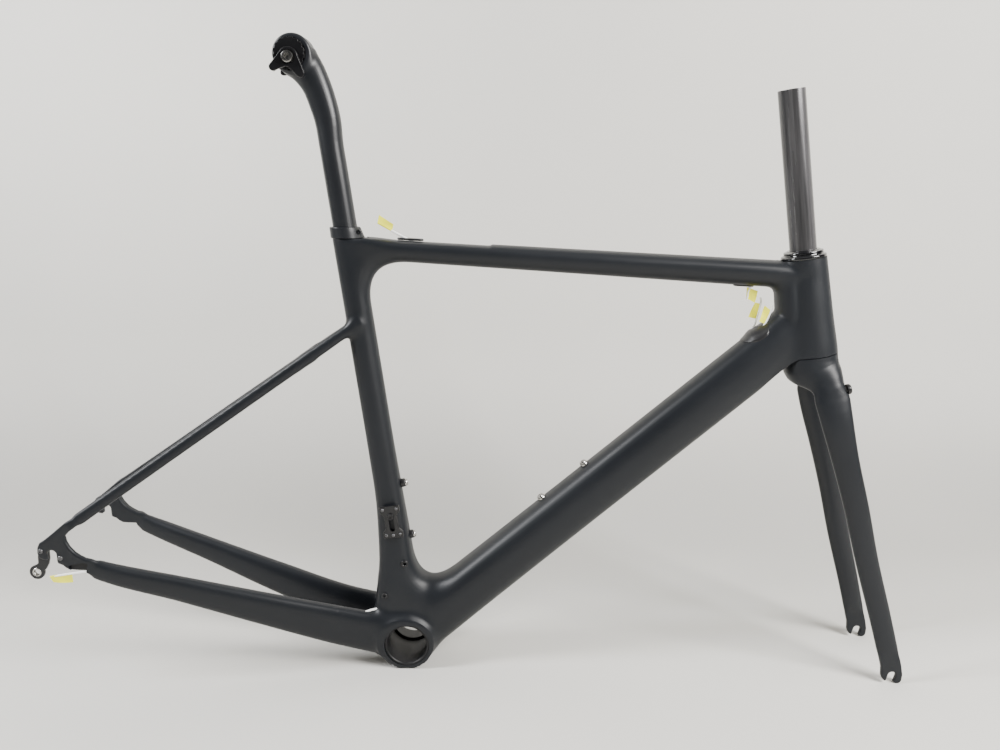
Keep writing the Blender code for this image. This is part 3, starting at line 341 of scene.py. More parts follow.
def dropout_distance(block, hand, stays):
    """The flat dropout, turning into the two stays at its arms."""
    x, z = block.x[:, 0, :] - BB_X - REAR_AXLE[0], block.z[0, :, :] - REAR_AXLE[1]
    x = x + (0.0024 if hand > 0 else 0.0)
    flat = polygon_distance(x, z, DROPOUT)
    slot = np.where(z > 0.0012, np.hypot(x - 0.0024, z - 0.0012), np.abs(x - 0.0024)) - 0.0052
    flat = carve(flat, slot, 0.0016)[:, None, :]
    inner = 0.0688 if hand < 0 else 0.0650
    low, high = sorted((inner * hand, 0.0748 * hand))
    chain = eased((x - 0.0455) * 0.952 - (z + 0.0150) * 0.306, 0.0060)
    seat_share = eased((x - 0.0290) * 0.821 + (z - 0.0380) * 0.570, 0.0070)
    share = (1 - (1 - chain) * (1 - seat_share))[:, None, :]
    return extruded(block, flat, low, high, 0.0026) * (1 - share) + stays * share


def frame_distance(block):
    out = block.empty()
    low_x = block.low[0] - BB_X
    high_x = low_x + block.step * block.shape[0]
    if high_x > -0.09:
        out = front_triangle(block)
        shell = rod_distance(block, side(0, BB_Z), LEFT, 0.0308, -0.034, 0.045)
        out = union(out, shell, 0.014)
    for hand in (-1, 1):
        out = union(out, tube(block, chainstay_rows(hand)), 0.014)
        if hand * (block.low[1] + block.step * block.shape[1] / 2) < -0.04:
            continue
        stay = tube(block, seatstay_rows(hand))
        if low_x < -0.33:
            out = dropout_distance(block, hand, union(out, stay, 0.009))
        else:
            out = union(out, stay, 0.009)
    middle, run, rise = side(-0.1100, 0.3665), (0.826, 0, 0.563), (-0.563, 0, 0.826)
    along = (block.x - middle[0]) * run[0] + (block.z - middle[2]) * run[2]
    up = (block.x - middle[0]) * rise[0] + (block.z - middle[2]) * rise[2]
    bridge = np.maximum(np.maximum(np.abs(along) - 0.0125, np.abs(up) - 0.0042), np.abs(block.y) - 0.0170)
    for shift in (-0.0085, 0.0085):
        pad = np.sqrt((along - shift) ** 2 + (up - 0.0005) ** 2 + (np.abs(block.y) * 0.45) ** 2) - 0.0068
        bridge = union(bridge, pad, 0.004)
    out = union(out, bridge, 0.006)
    out = carve(out, rod_distance(block, middle, rise, 0.0031, -0.03, 0.03), 0.001)
    return np.maximum(out, 0.0004 - block.z)


def blade_rows(hand):
    rows = ((0.4660, 0.3620, 0.0285, 0.0405, 0.0160), (0.4708, 0.3390, 0.0300, 0.0392, 0.0155),
            (0.4774, 0.3100, 0.0350, 0.0355, 0.0165), (0.4893, 0.2650, 0.0385, 0.0298, 0.0160),
            (0.5062, 0.2050, 0.0425, 0.0270, 0.0148), (0.5199, 0.1500, 0.0460, 0.0253, 0.0132),
            (0.5414, 0.0756, 0.0500, 0.0240, 0.0110), (0.5525, 0.0350, 0.0525, 0.0232, 0.0082),
            (0.5556, 0.0235, 0.0532, 0.0226, 0.0066))
    return handed(rows, hand, 2.2)


def crown_rows():
    rows = ((0.0080, 0.0000, 0.0574, 0.0572, 2.0), (-0.0100, -0.0012, 0.0585, 0.0605, 2.3),
            (-0.0220, 0.0050, 0.0515, 0.0680, 2.5), (-0.0340, 0.0094, 0.0405, 0.0750, 2.8),
            (-0.0480, 0.0130, 0.0370, 0.0770, 2.8))
    return [(steer(s, f), depth, width, power, 0.0) for s, f, depth, width, power in rows]


def arc(cx, cz, radius, start, end, steps):
    angles = [math.radians(start + (end - start) * i / steps) for i in range(steps + 1)]
    return [(cx + radius * math.cos(a), cz + radius * math.sin(a)) for a in angles]


FORK_TIP = ([(-0.0205, 0.0380), (-0.0160, 0.0217), (-0.0128, 0.0100), (-0.0122, 0.0000), (-0.0100, -0.0050),
             (-0.0050, -0.0088)] + arc(0.0068, -0.0050, 0.0048, 250, 350, 6)
            + [(0.0121, 0.0010), (0.0100, 0.0120), (0.0057, 0.0275), (0.0016, 0.0425)])
SLOT_LEAN = math.radians(-14)


def fork_distance(block):
    blades = block.empty()
    for hand in (-1, 1):
        blade = tube(block, blade_rows(hand))
        if block.low[2] < 0.03:
            x, z = block.x[:, 0, :] - BB_X - FORK_AXLE[0], block.z[0, :, :] - FORK_AXLE[1]
            flat = polygon_distance(x, z, FORK_TIP)
            u = x * math.cos(SLOT_LEAN) + z * math.sin(SLOT_LEAN)
            v = z * math.cos(SLOT_LEAN) - x * math.sin(SLOT_LEAN)
            slot = np.where(v > 0, np.hypot(u, v), np.abs(u)) - 0.0045
            flat = carve(flat, slot, 0.0015)[:, None, :]
            low, high = sorted((0.0500 * hand, 0.0565 * hand))
            share = eased(z - 0.0255, 0.0070)[:, None, :]
            blade = extruded(block, flat, low, high, 0.0018) * (1 - share) + blade * share
        blades = np.minimum(blades, blade)
    if block.low[2] + block.step * block.shape[2] < 0.30:
        return blades
    along = (block.x - STEER_SEAT[0]) * STEER_AXIS[0] + (block.z - STEER_SEAT[2]) * STEER_AXIS[2]
    arch = rod_distance(block, steer(-0.0490), STEER_FORWARD, 0.0215)
    crown = carve(tube(block, crown_rows(), 0.020), arch, 0.006)
    share = eased(along + 0.0350, 0.0110)
    return crown * share + carve(blades, arch, 0.006) * (1 - share)


def post_rows():
    rows = [(seat(s, 0.0005), 0.0262, 0.0260, 2.0, 0.0) for s in (0.360, 0.470, 0.545, 0.575)]
    sweep = ((-0.0744, 0.6265, 0.0280, 0.0260), (-0.0792, 0.6450, 0.0296, 0.0260),
             (-0.0845, 0.6605, 0.0306, 0.0260), (-0.0930, 0.6760, 0.0350, 0.0260),
             (-0.1000, 0.6850, 0.0380, 0.0260))
    return rows + [(side(x, z), depth, width, 2.1, 0.0) for x, z, depth, width in sweep]


def post_distance(block):
    disc = np.hypot(block.x - BB_X + 0.1070, block.z - 0.6920) - 0.0207
    lobe = extruded(block, disc, -0.0130, 0.0130, 0.0030)
    return union(tube(block, post_rows()), lobe, 0.006)


# ---- meshes ----------------------------------------------------------------------------------------------
def skin_mesh(name, low, high, step, distance, fade=()):
    """The surface where the distance is zero. fade lists ends that sink below a neighbour."""
    block = Block(low, high, step)
    d = distance(block)
    for axis, place, way in fade:
        spot = (block.x, block.y, block.z)[axis]
        d = d + 0.0005 * np.clip((spot - place) * way / 0.003, 0, 1) ** 2
    grid = openvdb.FloatGrid(FAR)
    grid.copyFromArray(np.clip(d, -FAR, FAR).astype(np.float32))
    points, quads = grid.convertToQuads()
    points = np.asarray(points, float) * block.step + block.low
    quads = np.asarray(quads)
    corners = points[quads]
    centre = corners.mean(1)
    normal = np.cross(corners[:, 2] - corners[:, 0], corners[:, 3] - corners[:, 1])
    if (centre * normal).sum() < 0:
        quads = quads[:, ::-1]
    mesh = bpy.data.meshes.new(name)
    mesh.from_pydata(points.tolist(), [], quads.tolist())
    mesh.update()
    return mesh


def new_object(name, data):
    item = bpy.data.objects.new(name, data)
    bpy.context.scene.collection.objects.link(item)
    return item


def mesh_from(name, points, faces):
    mesh = bpy.data.meshes.new(name)
    mesh.from_pydata([tuple(p) for p in points], [], faces)
    work = bmesh.new()
    work.from_mesh(mesh)
    bmesh.ops.recalc_face_normals(work, faces=work.faces)
    if work.calc_volume(signed=True) < 0:
        bmesh.ops.reverse_faces(work, faces=work.faces)
    work.to_mesh(mesh)
    work.free()
    return mesh


def ringed_mesh(name, points, size):
    """Joins rings of size points each, one after the other, and closes both ends."""
    faces = [(base + k, base + (k + 1) % size, base + size + (k + 1) % size, base + size + k)
             for base in range(0, len(points) - size, size) for k in range(size)]
    return mesh_from(name, points, faces + [tuple(range(size)), tuple(range(len(points) - size, len(points)))])


def lathe(name, profile, at, axis, count=72, loop=False):
    """Turns (radius, height) rows round an axis. A third number makes a row a polygon of that many sides."""
    place = Matrix.Translation(at) @ axis.to_track_quat("Z", "Y").to_matrix().to_4x4()
    points, rows = [], []
    for radius, height, *sides in profile:
        row = []
        for i in range(1 if radius == 0 else count):
            angle = 2 * math.pi * i / count
            reach = radius
            if sides:
                half = math.pi / sides[0]
                reach = radius * math.cos(half) / math.cos(angle % (2 * half) - half)
            row.append(len(points))
            points.append(place @ Vector((reach * math.cos(angle), reach * math.sin(angle), height)))
        rows.append(row)
    faces = []
    for low, high in list(zip(rows, rows[1:])) + ([(rows[-1], rows[0])] if loop else []):
        for i in range(count):
            j = (i + 1) % count
            quad = (low[i % len(low)], low[j % len(low)], high[j % len(high)], high[i % len(high)])
            if len(set(quad)) > 2:
                faces.append(tuple(dict.fromkeys(quad)))
    if not loop:
        faces += [tuple(row) for row in (rows[0], rows[-1]) if len(row) > 1]
    return mesh_from(name, points, faces)


def plate(name, outline, place, thickness, normal, edge=0.0004):
    """An outline, put in space by place(), given a thickness and rounded edges."""
    near = [place(u, v) for u, v in outline]
    far = [p + normal * thickness for p in near]
    n = len(near)
    faces = [tuple(range(n)), tuple(range(n, 2 * n))[::-1]]
    faces += [(i, (i + 1) % n, n + (i + 1) % n, n + i) for i in range(n)]
    mesh = mesh_from(name, near + far, faces)
    if edge:
        work = bmesh.new()
        work.from_mesh(mesh)
        sharp = math.radians(35.0)
        picked = [e for e in work.edges if len(e.link_faces) == 2 and e.calc_face_angle() > sharp]
        bmesh.ops.bevel(work, geom=picked, offset=edge, segments=3, profile=0.5, affect="EDGES",
                        clamp_overlap=True)
        work.to_mesh(mesh)
        work.free()
    return mesh


def carved(mesh, *cutters):
    """Takes closed shapes out of a mesh."""
    item = new_object("carved", mesh)
    tools = [new_object("cutter", cutter) for cutter in cutters]
    for tool in tools:
        step = item.modifiers.new("cut", "BOOLEAN")
        step.operation, step.solver, step.object = "DIFFERENCE", "EXACT", tool
    bpy.context.view_layer.update()
    result = bpy.data.meshes.new_from_object(item.evaluated_get(bpy.context.evaluated_depsgraph_get()))
    for used in [item] + tools:
        bpy.data.objects.remove(used, do_unlink=True)
    result.name = mesh.name
    return result


def smooth_path(points, spacing):
    """Points at an even spacing along a Catmull-Rom curve."""
    ends = [points[0] * 2 - points[1]] + points + [points[-1] * 2 - points[-2]]
    fine = []
    for p0, p1, p2, p3 in zip(ends, ends[1:], ends[2:], ends[3:]):
        for i in range(24):
            t = i / 24
            fine.append(p1 + (p2 - p0) * (0.5 * t) + (p0 * 2 - p1 * 5 + p2 * 4 - p3) * (0.5 * t * t)
                        + (p1 * 3 - p0 - p2 * 3 + p3) * (0.5 * t ** 3))
    fine.append(points[-1])
    picked, run = [fine[0]], 0.0
    for a, b in zip(fine, fine[1:]):
        run += (b - a).length
        if run >= spacing:
            picked.append(b)
            run = 0.0
    picked[-1] = fine[-1]
    return picked


def sweep(name, path, section):
    """Carries a closed section along a path. The section may depend on the place, 0 to 1."""
    across, points = LEFT.copy(), []
    for i, spot in enumerate(path):
        run = (path[min(i + 1, len(path) - 1)] - path[max(i - 1, 0)]).normalized()
        across = (across - run * run.dot(across)).normalized()
        other = run.cross(across)
        ring = section(i / (len(path) - 1)) if callable(section) else section
        points += [spot + across * u + other * v for u, v in ring]
    return ringed_mesh(name, points, len(ring))


def add(mesh, material, body, replaced=(), slot_name=None, sharp=38.0):
    """Makes a piece of a mesh: shading, finish, and the body it rides on."""
    item = new_object(mesh.name, mesh)
    mesh.materials.clear()
    mesh.materials.append(material)
    mesh.shade_smooth()
    mesh.set_sharp_from_angle(angle=math.radians(sharp))
    normals = item.modifiers.new("normals", "WEIGHTED_NORMAL")
    normals.keep_sharp = True
    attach(item, body)
    if replaced:
        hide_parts(*replaced)
    return item


def add_ring(name, profile, at, axis, count, *looks, sharp=38.0):
    """Makes a piece of a closed outline turned round an axis. looks are the finish, body, nodes and slot; the
    slot is not used.
    """
    add(lathe(name, profile, at, axis, count, loop=True), *looks, sharp=sharp)


# ---- finishes --------------------------------------------------------------------------------------------
def fill(node, **values):
    """Sets a node's constant inputs. An underscore stands for a space."""
    for socket, value in values.items():
        node.inputs[socket.replace("_", " ")].default_value = value


def make_finish(name, colour, rough, metal=0.0, mottle=(7.0, 0.12), grain=(420.0, 0.00004), rough_span=0.06,
                stretch=(1, 1, 1), turn=0.0, specular=0.5, coat=0.0, wear=None, second=None, painted_glow=0.0):
    """A finish with uneven colour, uneven roughness and a fine grain, all in the part's own frame."""
    material = bpy.data.materials.new(name)
    material.use_nodes = True
    nodes, links = material.node_tree.nodes, material.node_tree.links
    shader = nodes["Principled BSDF"]
    # the emission makes a finish glow in its own colour though it is no lamp: painted light
    fill(shader, Metallic=metal, Specular_IOR_Level=specular, Coat_Weight=coat, Coat_Roughness=0.12,
         Emission_Color=(*colour, 1), Emission_Strength=painted_glow)
    spot = nodes.new("ShaderNodeTexCoord")
    place = nodes.new("ShaderNodeMapping")
    fill(place, Rotation=(0, turn, 0))
    links.new(spot.outputs["Object"], place.inputs["Vector"])
    lay = nodes.new("ShaderNodeMapping")
    fill(lay, Scale=stretch)
    links.new(place.outputs["Vector"], lay.inputs["Vector"])

    def noise(scale, detail, roughness):
        node = nodes.new("ShaderNodeTexNoise")
        fill(node, Scale=scale, Detail=detail, Roughness=roughness)
        links.new(lay.outputs["Vector"], node.inputs["Vector"])
        return node

    cloud = noise(mottle[0], 5.0, 0.6)
    ramp = nodes.new("ShaderNodeValToRGB")
    low, high = ramp.color_ramp.elements
    low.position, high.position = 0.30, 0.72
    low.color = (*[c * (1 - mottle[1]) for c in colour], 1)
    high.color = (*[min(c * (1 + mottle[1]), 1) for c in (second or colour)], 1)
    links.new(cloud.outputs["Fac"], ramp.inputs["Fac"])
    tone = ramp.outputs["Color"]
    fine = noise(grain[0], 3.0, 0.55)
    if wear:
        scale, threshold, tint = wear
        specks = noise(scale, 6.0, 0.7)
        mask = nodes.new("ShaderNodeMapRange")
        fill(mask, From_Min=threshold, From_Max=threshold + 0.09, To_Max=0.7)
        links.new(specks.outputs["Fac"], mask.inputs["Value"])
        blend = nodes.new("ShaderNodeMix")
        blend.data_type = "RGBA"
        blend.inputs["B"].default_value = (*tint, 1)
        links.new(mask.outputs["Result"], blend.inputs["Factor"])
        links.new(tone, blend.inputs["A"])
        tone = blend.outputs["Result"]
    links.new(tone, shader.inputs["Base Color"])
    span = nodes.new("ShaderNodeMapRange")
    fill(span, From_Min=0.3, From_Max=0.7, To_Min=rough - rough_span, To_Max=rough + rough_span)
    links.new(cloud.outputs["Fac"], span.inputs["Value"])
    links.new(span.outputs["Result"], shader.inputs["Roughness"])
    bump = nodes.new("ShaderNodeBump")
    fill(bump, Strength=0.6, Distance=grain[1])
    links.new(fine.outputs["Fac"], bump.inputs["Height"])
    links.new(bump.outputs["Normal"], shader.inputs["Normal"])
    return material


STEER_LEAN = math.atan2(STEER_AXIS.x, STEER_AXIS.z)
MATT = make_finish("carbon_matt", (0.0080, 0.0094, 0.0120), 0.42, mottle=(6.0, 0.10),
                   grain=(700.0, 0.00003), specular=0.30)
SATIN = make_finish("carbon_satin_skin", (0.0095, 0.0106, 0.0130), 0.36, mottle=(9.0, 0.12),
                    grain=(500.0, 0.00003), specular=0.42)
RAW = make_finish("carbon_unpainted", (0.040, 0.040, 0.043), 0.27, metal=0.55, mottle=(60.0, 0.55),
                  grain=(240.0, 0.00012), rough_span=0.09, stretch=(1, 1, 0.05), turn=-STEER_LEAN,
                  second=(0.115, 0.112, 0.115), wear=(150.0, 0.70, (0.30, 0.29, 0.29)))
ANODISED = make_finish("anodised_dark", (0.007, 0.007, 0.008), 0.32, metal=0.2, mottle=(40.0, 0.15),
                       grain=(1500.0, 0.00002))
GLOSS = make_finish("gloss_lacquer", (0.006, 0.006, 0.007), 0.10, mottle=(30.0, 0.12), grain=(900.0, 0.00001),
                    rough_span=0.03, coat=0.5)
PLASTIC = make_finish("moulded_plastic", (0.010, 0.010, 0.011), 0.38, mottle=(60.0, 0.15),
                      grain=(1600.0, 0.00006))
STEEL = make_finish("bright_steel", (0.44, 0.43, 0.41), 0.24, metal=1.0, mottle=(160.0, 0.10),
                    grain=(2500.0, 0.00002), rough_span=0.07)
DARK_STEEL = make_finish("dark_steel", (0.13, 0.13, 0.135), 0.30, metal=1.0, mottle=(160.0, 0.20),
                         grain=(2500.0, 0.00002), rough_span=0.07)
# the liner glows a little though it is no lamp: painted light that makes it look whiter
LINER = make_finish("liner_plastic", (0.90, 0.90, 0.88), 0.34, mottle=(90.0, 0.05),
                    grain=(900.0, 0.00002), painted_glow=0.25)
# the tape glows a little though it is no lamp: painted light that keeps its yellow bright
TAPE = make_finish("tape_film", (0.86, 0.82, 0.020), 0.42, painted_glow=0.22, mottle=(140.0, 0.08),
                   grain=(600.0, 0.00010), second=(0.92, 0.90, 0.050))
# a neutral black a little darker than the frame's paint: painted shade for the inside of the bracket bore and
# the cable exit
PAINTED_SHADE_BORE = make_finish("bore_painted_shade", (0.008, 0.008, 0.009), 0.46, mottle=(60.0, 0.25), grain=(600.0, 0.00006),
                     specular=0.3)
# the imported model's material slots, and the finish that each gets
SLOT_FINISH = {"carbon_black": MATT, "carbon_satin": SATIN, "carbon_raw": RAW, "anodised_black": ANODISED,
               "gloss_black": GLOSS, "plastic_black": PLASTIC, "steel": STEEL, "liner_white": LINER,
               "tape_yellow": TAPE}

for node in frame["nodes"].values():
    for held in node.material_slots:
        named = held.material.name.split(".")[0] if held.material else "carbon_black"
        held.material = SLOT_FINISH.get(named, MATT)
    if not node.material_slots:
        node.data.materials.append(MATT)

# ---- moulded frame ---------------------------------------------------------------------------------------
BRACKET = side(0, BB_Z)
JOIN_REAR, JOIN_DROPOUT = -0.0800, -0.3310

front = skin_mesh("frame_front_moulding", (BB_X + JOIN_REAR - 0.0015, -0.052, -0.004),
                  (BB_X + 0.492, 0.052, 0.515), 0.002, frame_distance,
                  fade=((0, BB_X + JOIN_REAR + 0.0015, -1),))
SEAM_SLOPE, SEAM_EDGE = 0.95, 0.075
seam_floor = SEAM_TOP - SEAM_SLOPE * (SEAM_EDGE - SEAM_RADIUS)
recess = [(0.0, -0.060), (SEAM_EDGE, -0.060), (SEAM_EDGE, seam_floor + CROWN_GAP),
          (SEAM_RADIUS, SEAM_TOP + CROWN_GAP), (0.0, SEAM_TOP + CROWN_GAP)]
head_bore = [(0.0, -0.02), (0.0240, -0.02), (0.0240, 0.0130), (0.0205, 0.0130), (0.0190, HEAD_TOP - 0.0075),
             (0.0212, HEAD_TOP - 0.0075), (0.0212, HEAD_TOP + 0.02), (0.0, HEAD_TOP + 0.02)]
HEAD_EDGE = HEAD_TOP + 0.0016
front = carved(front, lathe("recess", recess, STEER_SEAT, STEER_AXIS, 128),
               lathe("head_bore", head_bore, STEER_SEAT, STEER_AXIS, 96),
               lathe("head_end", [(0.0275, HEAD_EDGE), (0.0275, 0.2)], STEER_SEAT, STEER_AXIS, 48),
               lathe("seat_end", [(0.0250, 0.0), (0.0250, 0.05)], seat(SEAT_TOP), Vector((0, 0, 1)), 48),
               lathe("seat_bore", [(0.0137, 0.240), (0.0137, 0.50)], SEAT_FOOT, SEAT_AXIS, 72),
               lathe("bracket_bore", [(0.0262, -0.1), (0.0262, 0.1)], BRACKET, LEFT, 128))
add(front, MATT, "frame", ("head_tube", "top_tube", "down_tube", "seat_tube"), "carbon_black")

rear = skin_mesh("frame_stays", (BB_X + JOIN_DROPOUT - 0.0030, -0.085, 0.02),
                 (BB_X + JOIN_REAR + 0.0030, 0.085, 0.43), 0.0016, frame_distance,
                 fade=((0, BB_X + JOIN_REAR, 1), (0, BB_X + JOIN_DROPOUT, -1)))
STAYS = ("chainstay_right", "chainstay_left", "seatstay_right", "seatstay_left")
add(rear, MATT, "frame", (*STAYS, "brake_bridge"), "carbon_black")

POCKET = [(0.0200, -0.0112), (0.0300, -0.0088), (0.0375, -0.0072), (0.0418, -0.0092), (0.0402, -0.0150),
          (0.0392, -0.0196), (0.0300, -0.0200), (0.0225, -0.0190)]
for label, hand in (("right", -1), ("left", 1)):
    low, high = sorted((0.0580 * hand, 0.0790 * hand))
    skin = skin_mesh("frame_dropout_" + label, (BB_X - 0.415, low, 0.125),
                     (BB_X + JOIN_DROPOUT + 0.0016, high, 0.225), 0.0008, frame_distance,
                     fade=((0, BB_X + JOIN_DROPOUT - 0.0014, 1),))
    if hand < 0:
        corner = lambda u, v: side(REAR_AXLE[0] + u, REAR_AXLE[1] + v, -0.0715)
        skin = carved(skin, plate("pocket", POCKET, corner, 0.01, -LEFT, 0))
        # a dark plate at the pocket's bottom: painted shade that stands in for the deep, shaded hole of the
        # cable exit
        foot = [(0.0385, -0.0172), (0.0300, -0.0170), (0.0225, -0.0165)]
        floor = plate("chainstay_exit_painted_shade_floor", POCKET[:5] + foot,
                      lambda u, v: corner(u, v) + LEFT * 0.0003, 0.0006, -LEFT, 0.0002)
        add(floor, PAINTED_SHADE_BORE, "frame", (), "carbon_black")
    add(skin, MATT, "frame", ("dropout_" + label,), "carbon_black")

# ---- bottom bracket sleeve -------------------------------------------------------------------------------
sleeve = [(0.0262, -0.0336), (0.0257, -0.0340), (0.0240, -0.0340), (0.0232, -0.0332), (0.0230, -0.0326),
          (0.0230, -0.0140), (0.0259, -0.0120), (0.0259, 0.0230), (0.0230, 0.0250), (0.0230, 0.0436),
          (0.0232, 0.0442), (0.0240, 0.0450), (0.0257, 0.0450), (0.0262, 0.0446)]
add_ring("bracket_sleeve", sleeve, BRACKET, LEFT, 128, PAINTED_SHADE_BORE, "frame", ("bottom_bracket_shell",),
    "carbon_black")

# ---- fork ------------------------------------------------------------------------------------------------
fork = skin_mesh("fork_moulding", (BB_X + 0.425, -0.062, 0.0440), (BB_X + 0.580, 0.062, 0.405), 0.0012,
                 fork_distance, fade=((2, 0.0475, -1),))
above = [(0.0, 0.0), (0.0247, 0.0), (0.0247, SEAM_TOP), (SEAM_RADIUS, SEAM_TOP), (SEAM_EDGE, seam_floor),
         (SEAM_EDGE, 0.050), (0.0, 0.050)]
fork = carved(fork, lathe("above", above, STEER_SEAT, STEER_AXIS, 128),
              lathe("socket", [(0.0163, -0.030), (0.0163, 0.030)], STEER_SEAT, STEER_AXIS, 64))
add(fork, MATT, "fork", ("fork_crown", "fork_blade_right", "fork_blade_left"), "carbon_black")
for label, hand in (("right", -1), ("left", 1)):
    low, high = sorted((0.0440 * hand, 0.0620 * hand))
    tip = skin_mesh("fork_tip_moulding_" + label, (BB_X + 0.530, low, -0.003),
                    (BB_X + 0.580, high, 0.0500), 0.0007, fork_distance, fade=((2, 0.0470, 1),))
    add(tip, MATT, "fork", ("fork_tip_" + label,), "carbon_black")
    boss = [(0.0058, -0.0015), (0.0058, 0.0006), (0.0056, 0.0016), (0.0048, 0.0026), (0.0038, 0.0028),
            (0.0029, 0.0028), (0.0026, 0.0025), (0.0026, -0.0060), (0.0036, -0.0060), (0.0036, -0.0015)]
    at = side(0.4897, 0.3402, 0.0305 * hand)
    add_ring("fork_boss_ring_" + label, boss, at, Vector((0.976, 0, 0.219)).normalized(), 48, ANODISED,
        "fork", ("fork_brake_boss_" + label,), "anodised_black")

steerer = [(0.0160, -0.0150), (0.0160, 0.0040), (0.0150, 0.0100), (0.0143, 0.0120), (0.0143, 0.2884),
           (0.0141, 0.2889), (0.0138, 0.2890), (0.0116, 0.2890), (0.0114, 0.2888), (0.0113, 0.2882),
           (0.0113, -0.0150)]
add_ring("steerer_skin", steerer, STEER_SEAT, STEER_AXIS, 96, RAW, "fork", ("steerer_tube",),
    "carbon_raw")
cover = [(0.0152, 0.0018), (0.0232, 0.0018), (0.0238, 0.0022), (0.0240, 0.0029), (0.0240, 0.0041),
         (0.0237, 0.0049), (0.0229, 0.0055), (0.0216, 0.0058), (0.0212, 0.0061), (0.0210, 0.0068),
         (0.0208, 0.0071), (0.0152, 0.0071)]
ring = [(0.0146, 0.0074), (0.0204, 0.0074), (0.0209, 0.0078), (0.0210, 0.0087), (0.0206, 0.0094),
        (0.0194, 0.0098), (0.0180, 0.0101), (0.0173, 0.0107), (0.0166, 0.0111), (0.0150, 0.0111),
        (0.0146, 0.0108)]
head = STEER_SEAT + STEER_AXIS * HEAD_TOP
add_ring("headset_cap", cover, head, STEER_AXIS, 96, GLOSS, "fork", ("headset_cover",), "gloss_black")
add_ring("headset_wedge", ring, head, STEER_AXIS, 96, GLOSS, "fork", ("compression_ring",),
    "gloss_black")

# ---- seatpost and collar ---------------------------------------------------------------------------------
post = skin_mesh("seatpost_skin", (BB_X - 0.135, -0.0150, 0.370), (BB_X - 0.030, 0.0150, 0.720), 0.0011,
                 post_distance)
post_bore = [(0.0168, -0.020), (0.0168, -0.0126), (0.0160, -0.0118), (0.0160, 0.0118), (0.0168, 0.0126),
             (0.0168, 0.020)]
post = carved(post, lathe("post_bore", post_bore, POST_HEAD, LEFT, 96))
add(post, SATIN, "post", ("seatpost",), "carbon_satin")


def collar_mesh():
    """A split ring with a level top and bottom. Its front swells into a nose that leans back."""
    count, slit, bore, high = 96, 0.0008, 0.0138, 0.012
    rows = ((0.0, 0.0006), (0.0004, 0.0), (0.0050, 0.0), (0.0112, 0.0), (0.0118, 0.0004), (0.0120, 0.0012))
    points, faces = [], []
    first = math.asin(slit / bore)
    angles = [first + (2 * math.pi - 2 * first) * i / count for i in range(count + 1)]
    base = seat(SEAT_TOP + 0.0004)
    level = SEAT_FORWARD.z / SEAT_AXIS.z
    for height, inset in rows:
        for i, angle in enumerate(angles):
            front = max(math.cos(angle), 0) ** 10
            nose = (0.0034 - 0.0030 * height / high) * front
            reach = 0.0168 - 0.0004 * height / high + nose - inset
            spot = (reach * math.cos(angle), reach * math.sin(angle))
            if i in (0, count):
                spot = (reach, slit if i == 0 else -slit)
            points.append(base + SEAT_AXIS * (height - level * spot[0]) + SEAT_FORWARD * spot[0]
                          + LEFT * spot[1])
    for height in (high, 0.0):
        for angle in angles:
            ahead = bore * math.cos(angle)
            points.append(base + SEAT_AXIS * (height - level * ahead) + SEAT_FORWARD * ahead
                          + LEFT * (bore * math.sin(angle)))
    rings, wide = len(rows) + 2, count + 1
    for r in range(rings):
        for i in range(count):
            a, b = r * wide + i, ((r + 1) % rings) * wide + i
            faces.append((a, a + 1, b + 1, b))
    faces += [tuple(r * wide for r in range(rings)), tuple(r * wide + count for r in range(rings))]
    return mesh_from("collar_ring", points, faces)


pinch = seat(SEAT_TOP + 0.0050) + SEAT_FORWARD * 0.0158
collar = carved(collar_mesh(), lathe("pinch", [(0.0016, -0.02), (0.0016, 0.02)], pinch, LEFT, 32),
                lathe("pinch_seat", [(0.0026, 0.0042), (0.0026, 0.02)], pinch, LEFT, 32),
                lathe("pinch_head", [(0.0026, 0.0042), (0.0026, 0.02)], pinch, -LEFT, 32))
add(collar, SATIN, "frame", ("seat_collar",), "anodised_black")


def cap_screw(name, at, axis, head, head_height, shank, length, hex_size, finish, body, replaced=(),
              slot_name="steel", dome=0.35):
    """A round-headed screw with a hexagon socket. Heights are above the point, along the axis."""
    deep = head_height * 0.62
    profile = [(0.0, head_height - deep), (hex_size, head_height - deep, 6),
               (hex_size, head_height - 0.00012, 6), (hex_size * 1.12, head_height),
               (head * (1 - dome), head_height),
               (head * (1 - dome * 0.42), head_height * 0.93), (head * 0.96, head_height * 0.62),
               (head, head_height * 0.30), (head, 0.0), (shank, 0.0), (shank, -length), (0.0, -length)]
    add(lathe(name, profile, at, axis, 48), finish, body, replaced, slot_name, sharp=30.0)


cap_screw("collar_pinch_screw", pinch - LEFT * 0.0050, -LEFT, 0.0025, 0.0022, 0.0012, 0.0110, 0.0010,
          SATIN, "frame", ("collar_bolt",))

# ---- saddle clamp ----------------------------------------------------------------------------------------
PIVOT = POST_HEAD + Vector((0.0005, 0, -0.0045))
core = [(0.0, -0.0135), (0.0150, -0.0135), (0.0154, -0.0131), (0.0154, 0.0131), (0.0150, 0.0135), (0.0, 0.0135)]
add(lathe("clamp_core", core, POST_HEAD, LEFT, 72), ANODISED, "clamp", ("clamp_barrel",), "anodised_black")


def toothed(radius, depth, teeth):
    rows = []
    for i in range(teeth):
        for turn, drop in ((0.0, depth), (0.12, depth * 0.9), (0.26, 0.1 * depth), (0.36, 0.0), (0.62, 0.0),
                           (0.72, 0.1 * depth), (0.86, depth * 0.9)):
            angle = 2 * math.pi * (i + turn) / teeth
            rows.append(((radius - drop) * math.cos(angle), (radius - drop) * math.sin(angle)))
    return rows


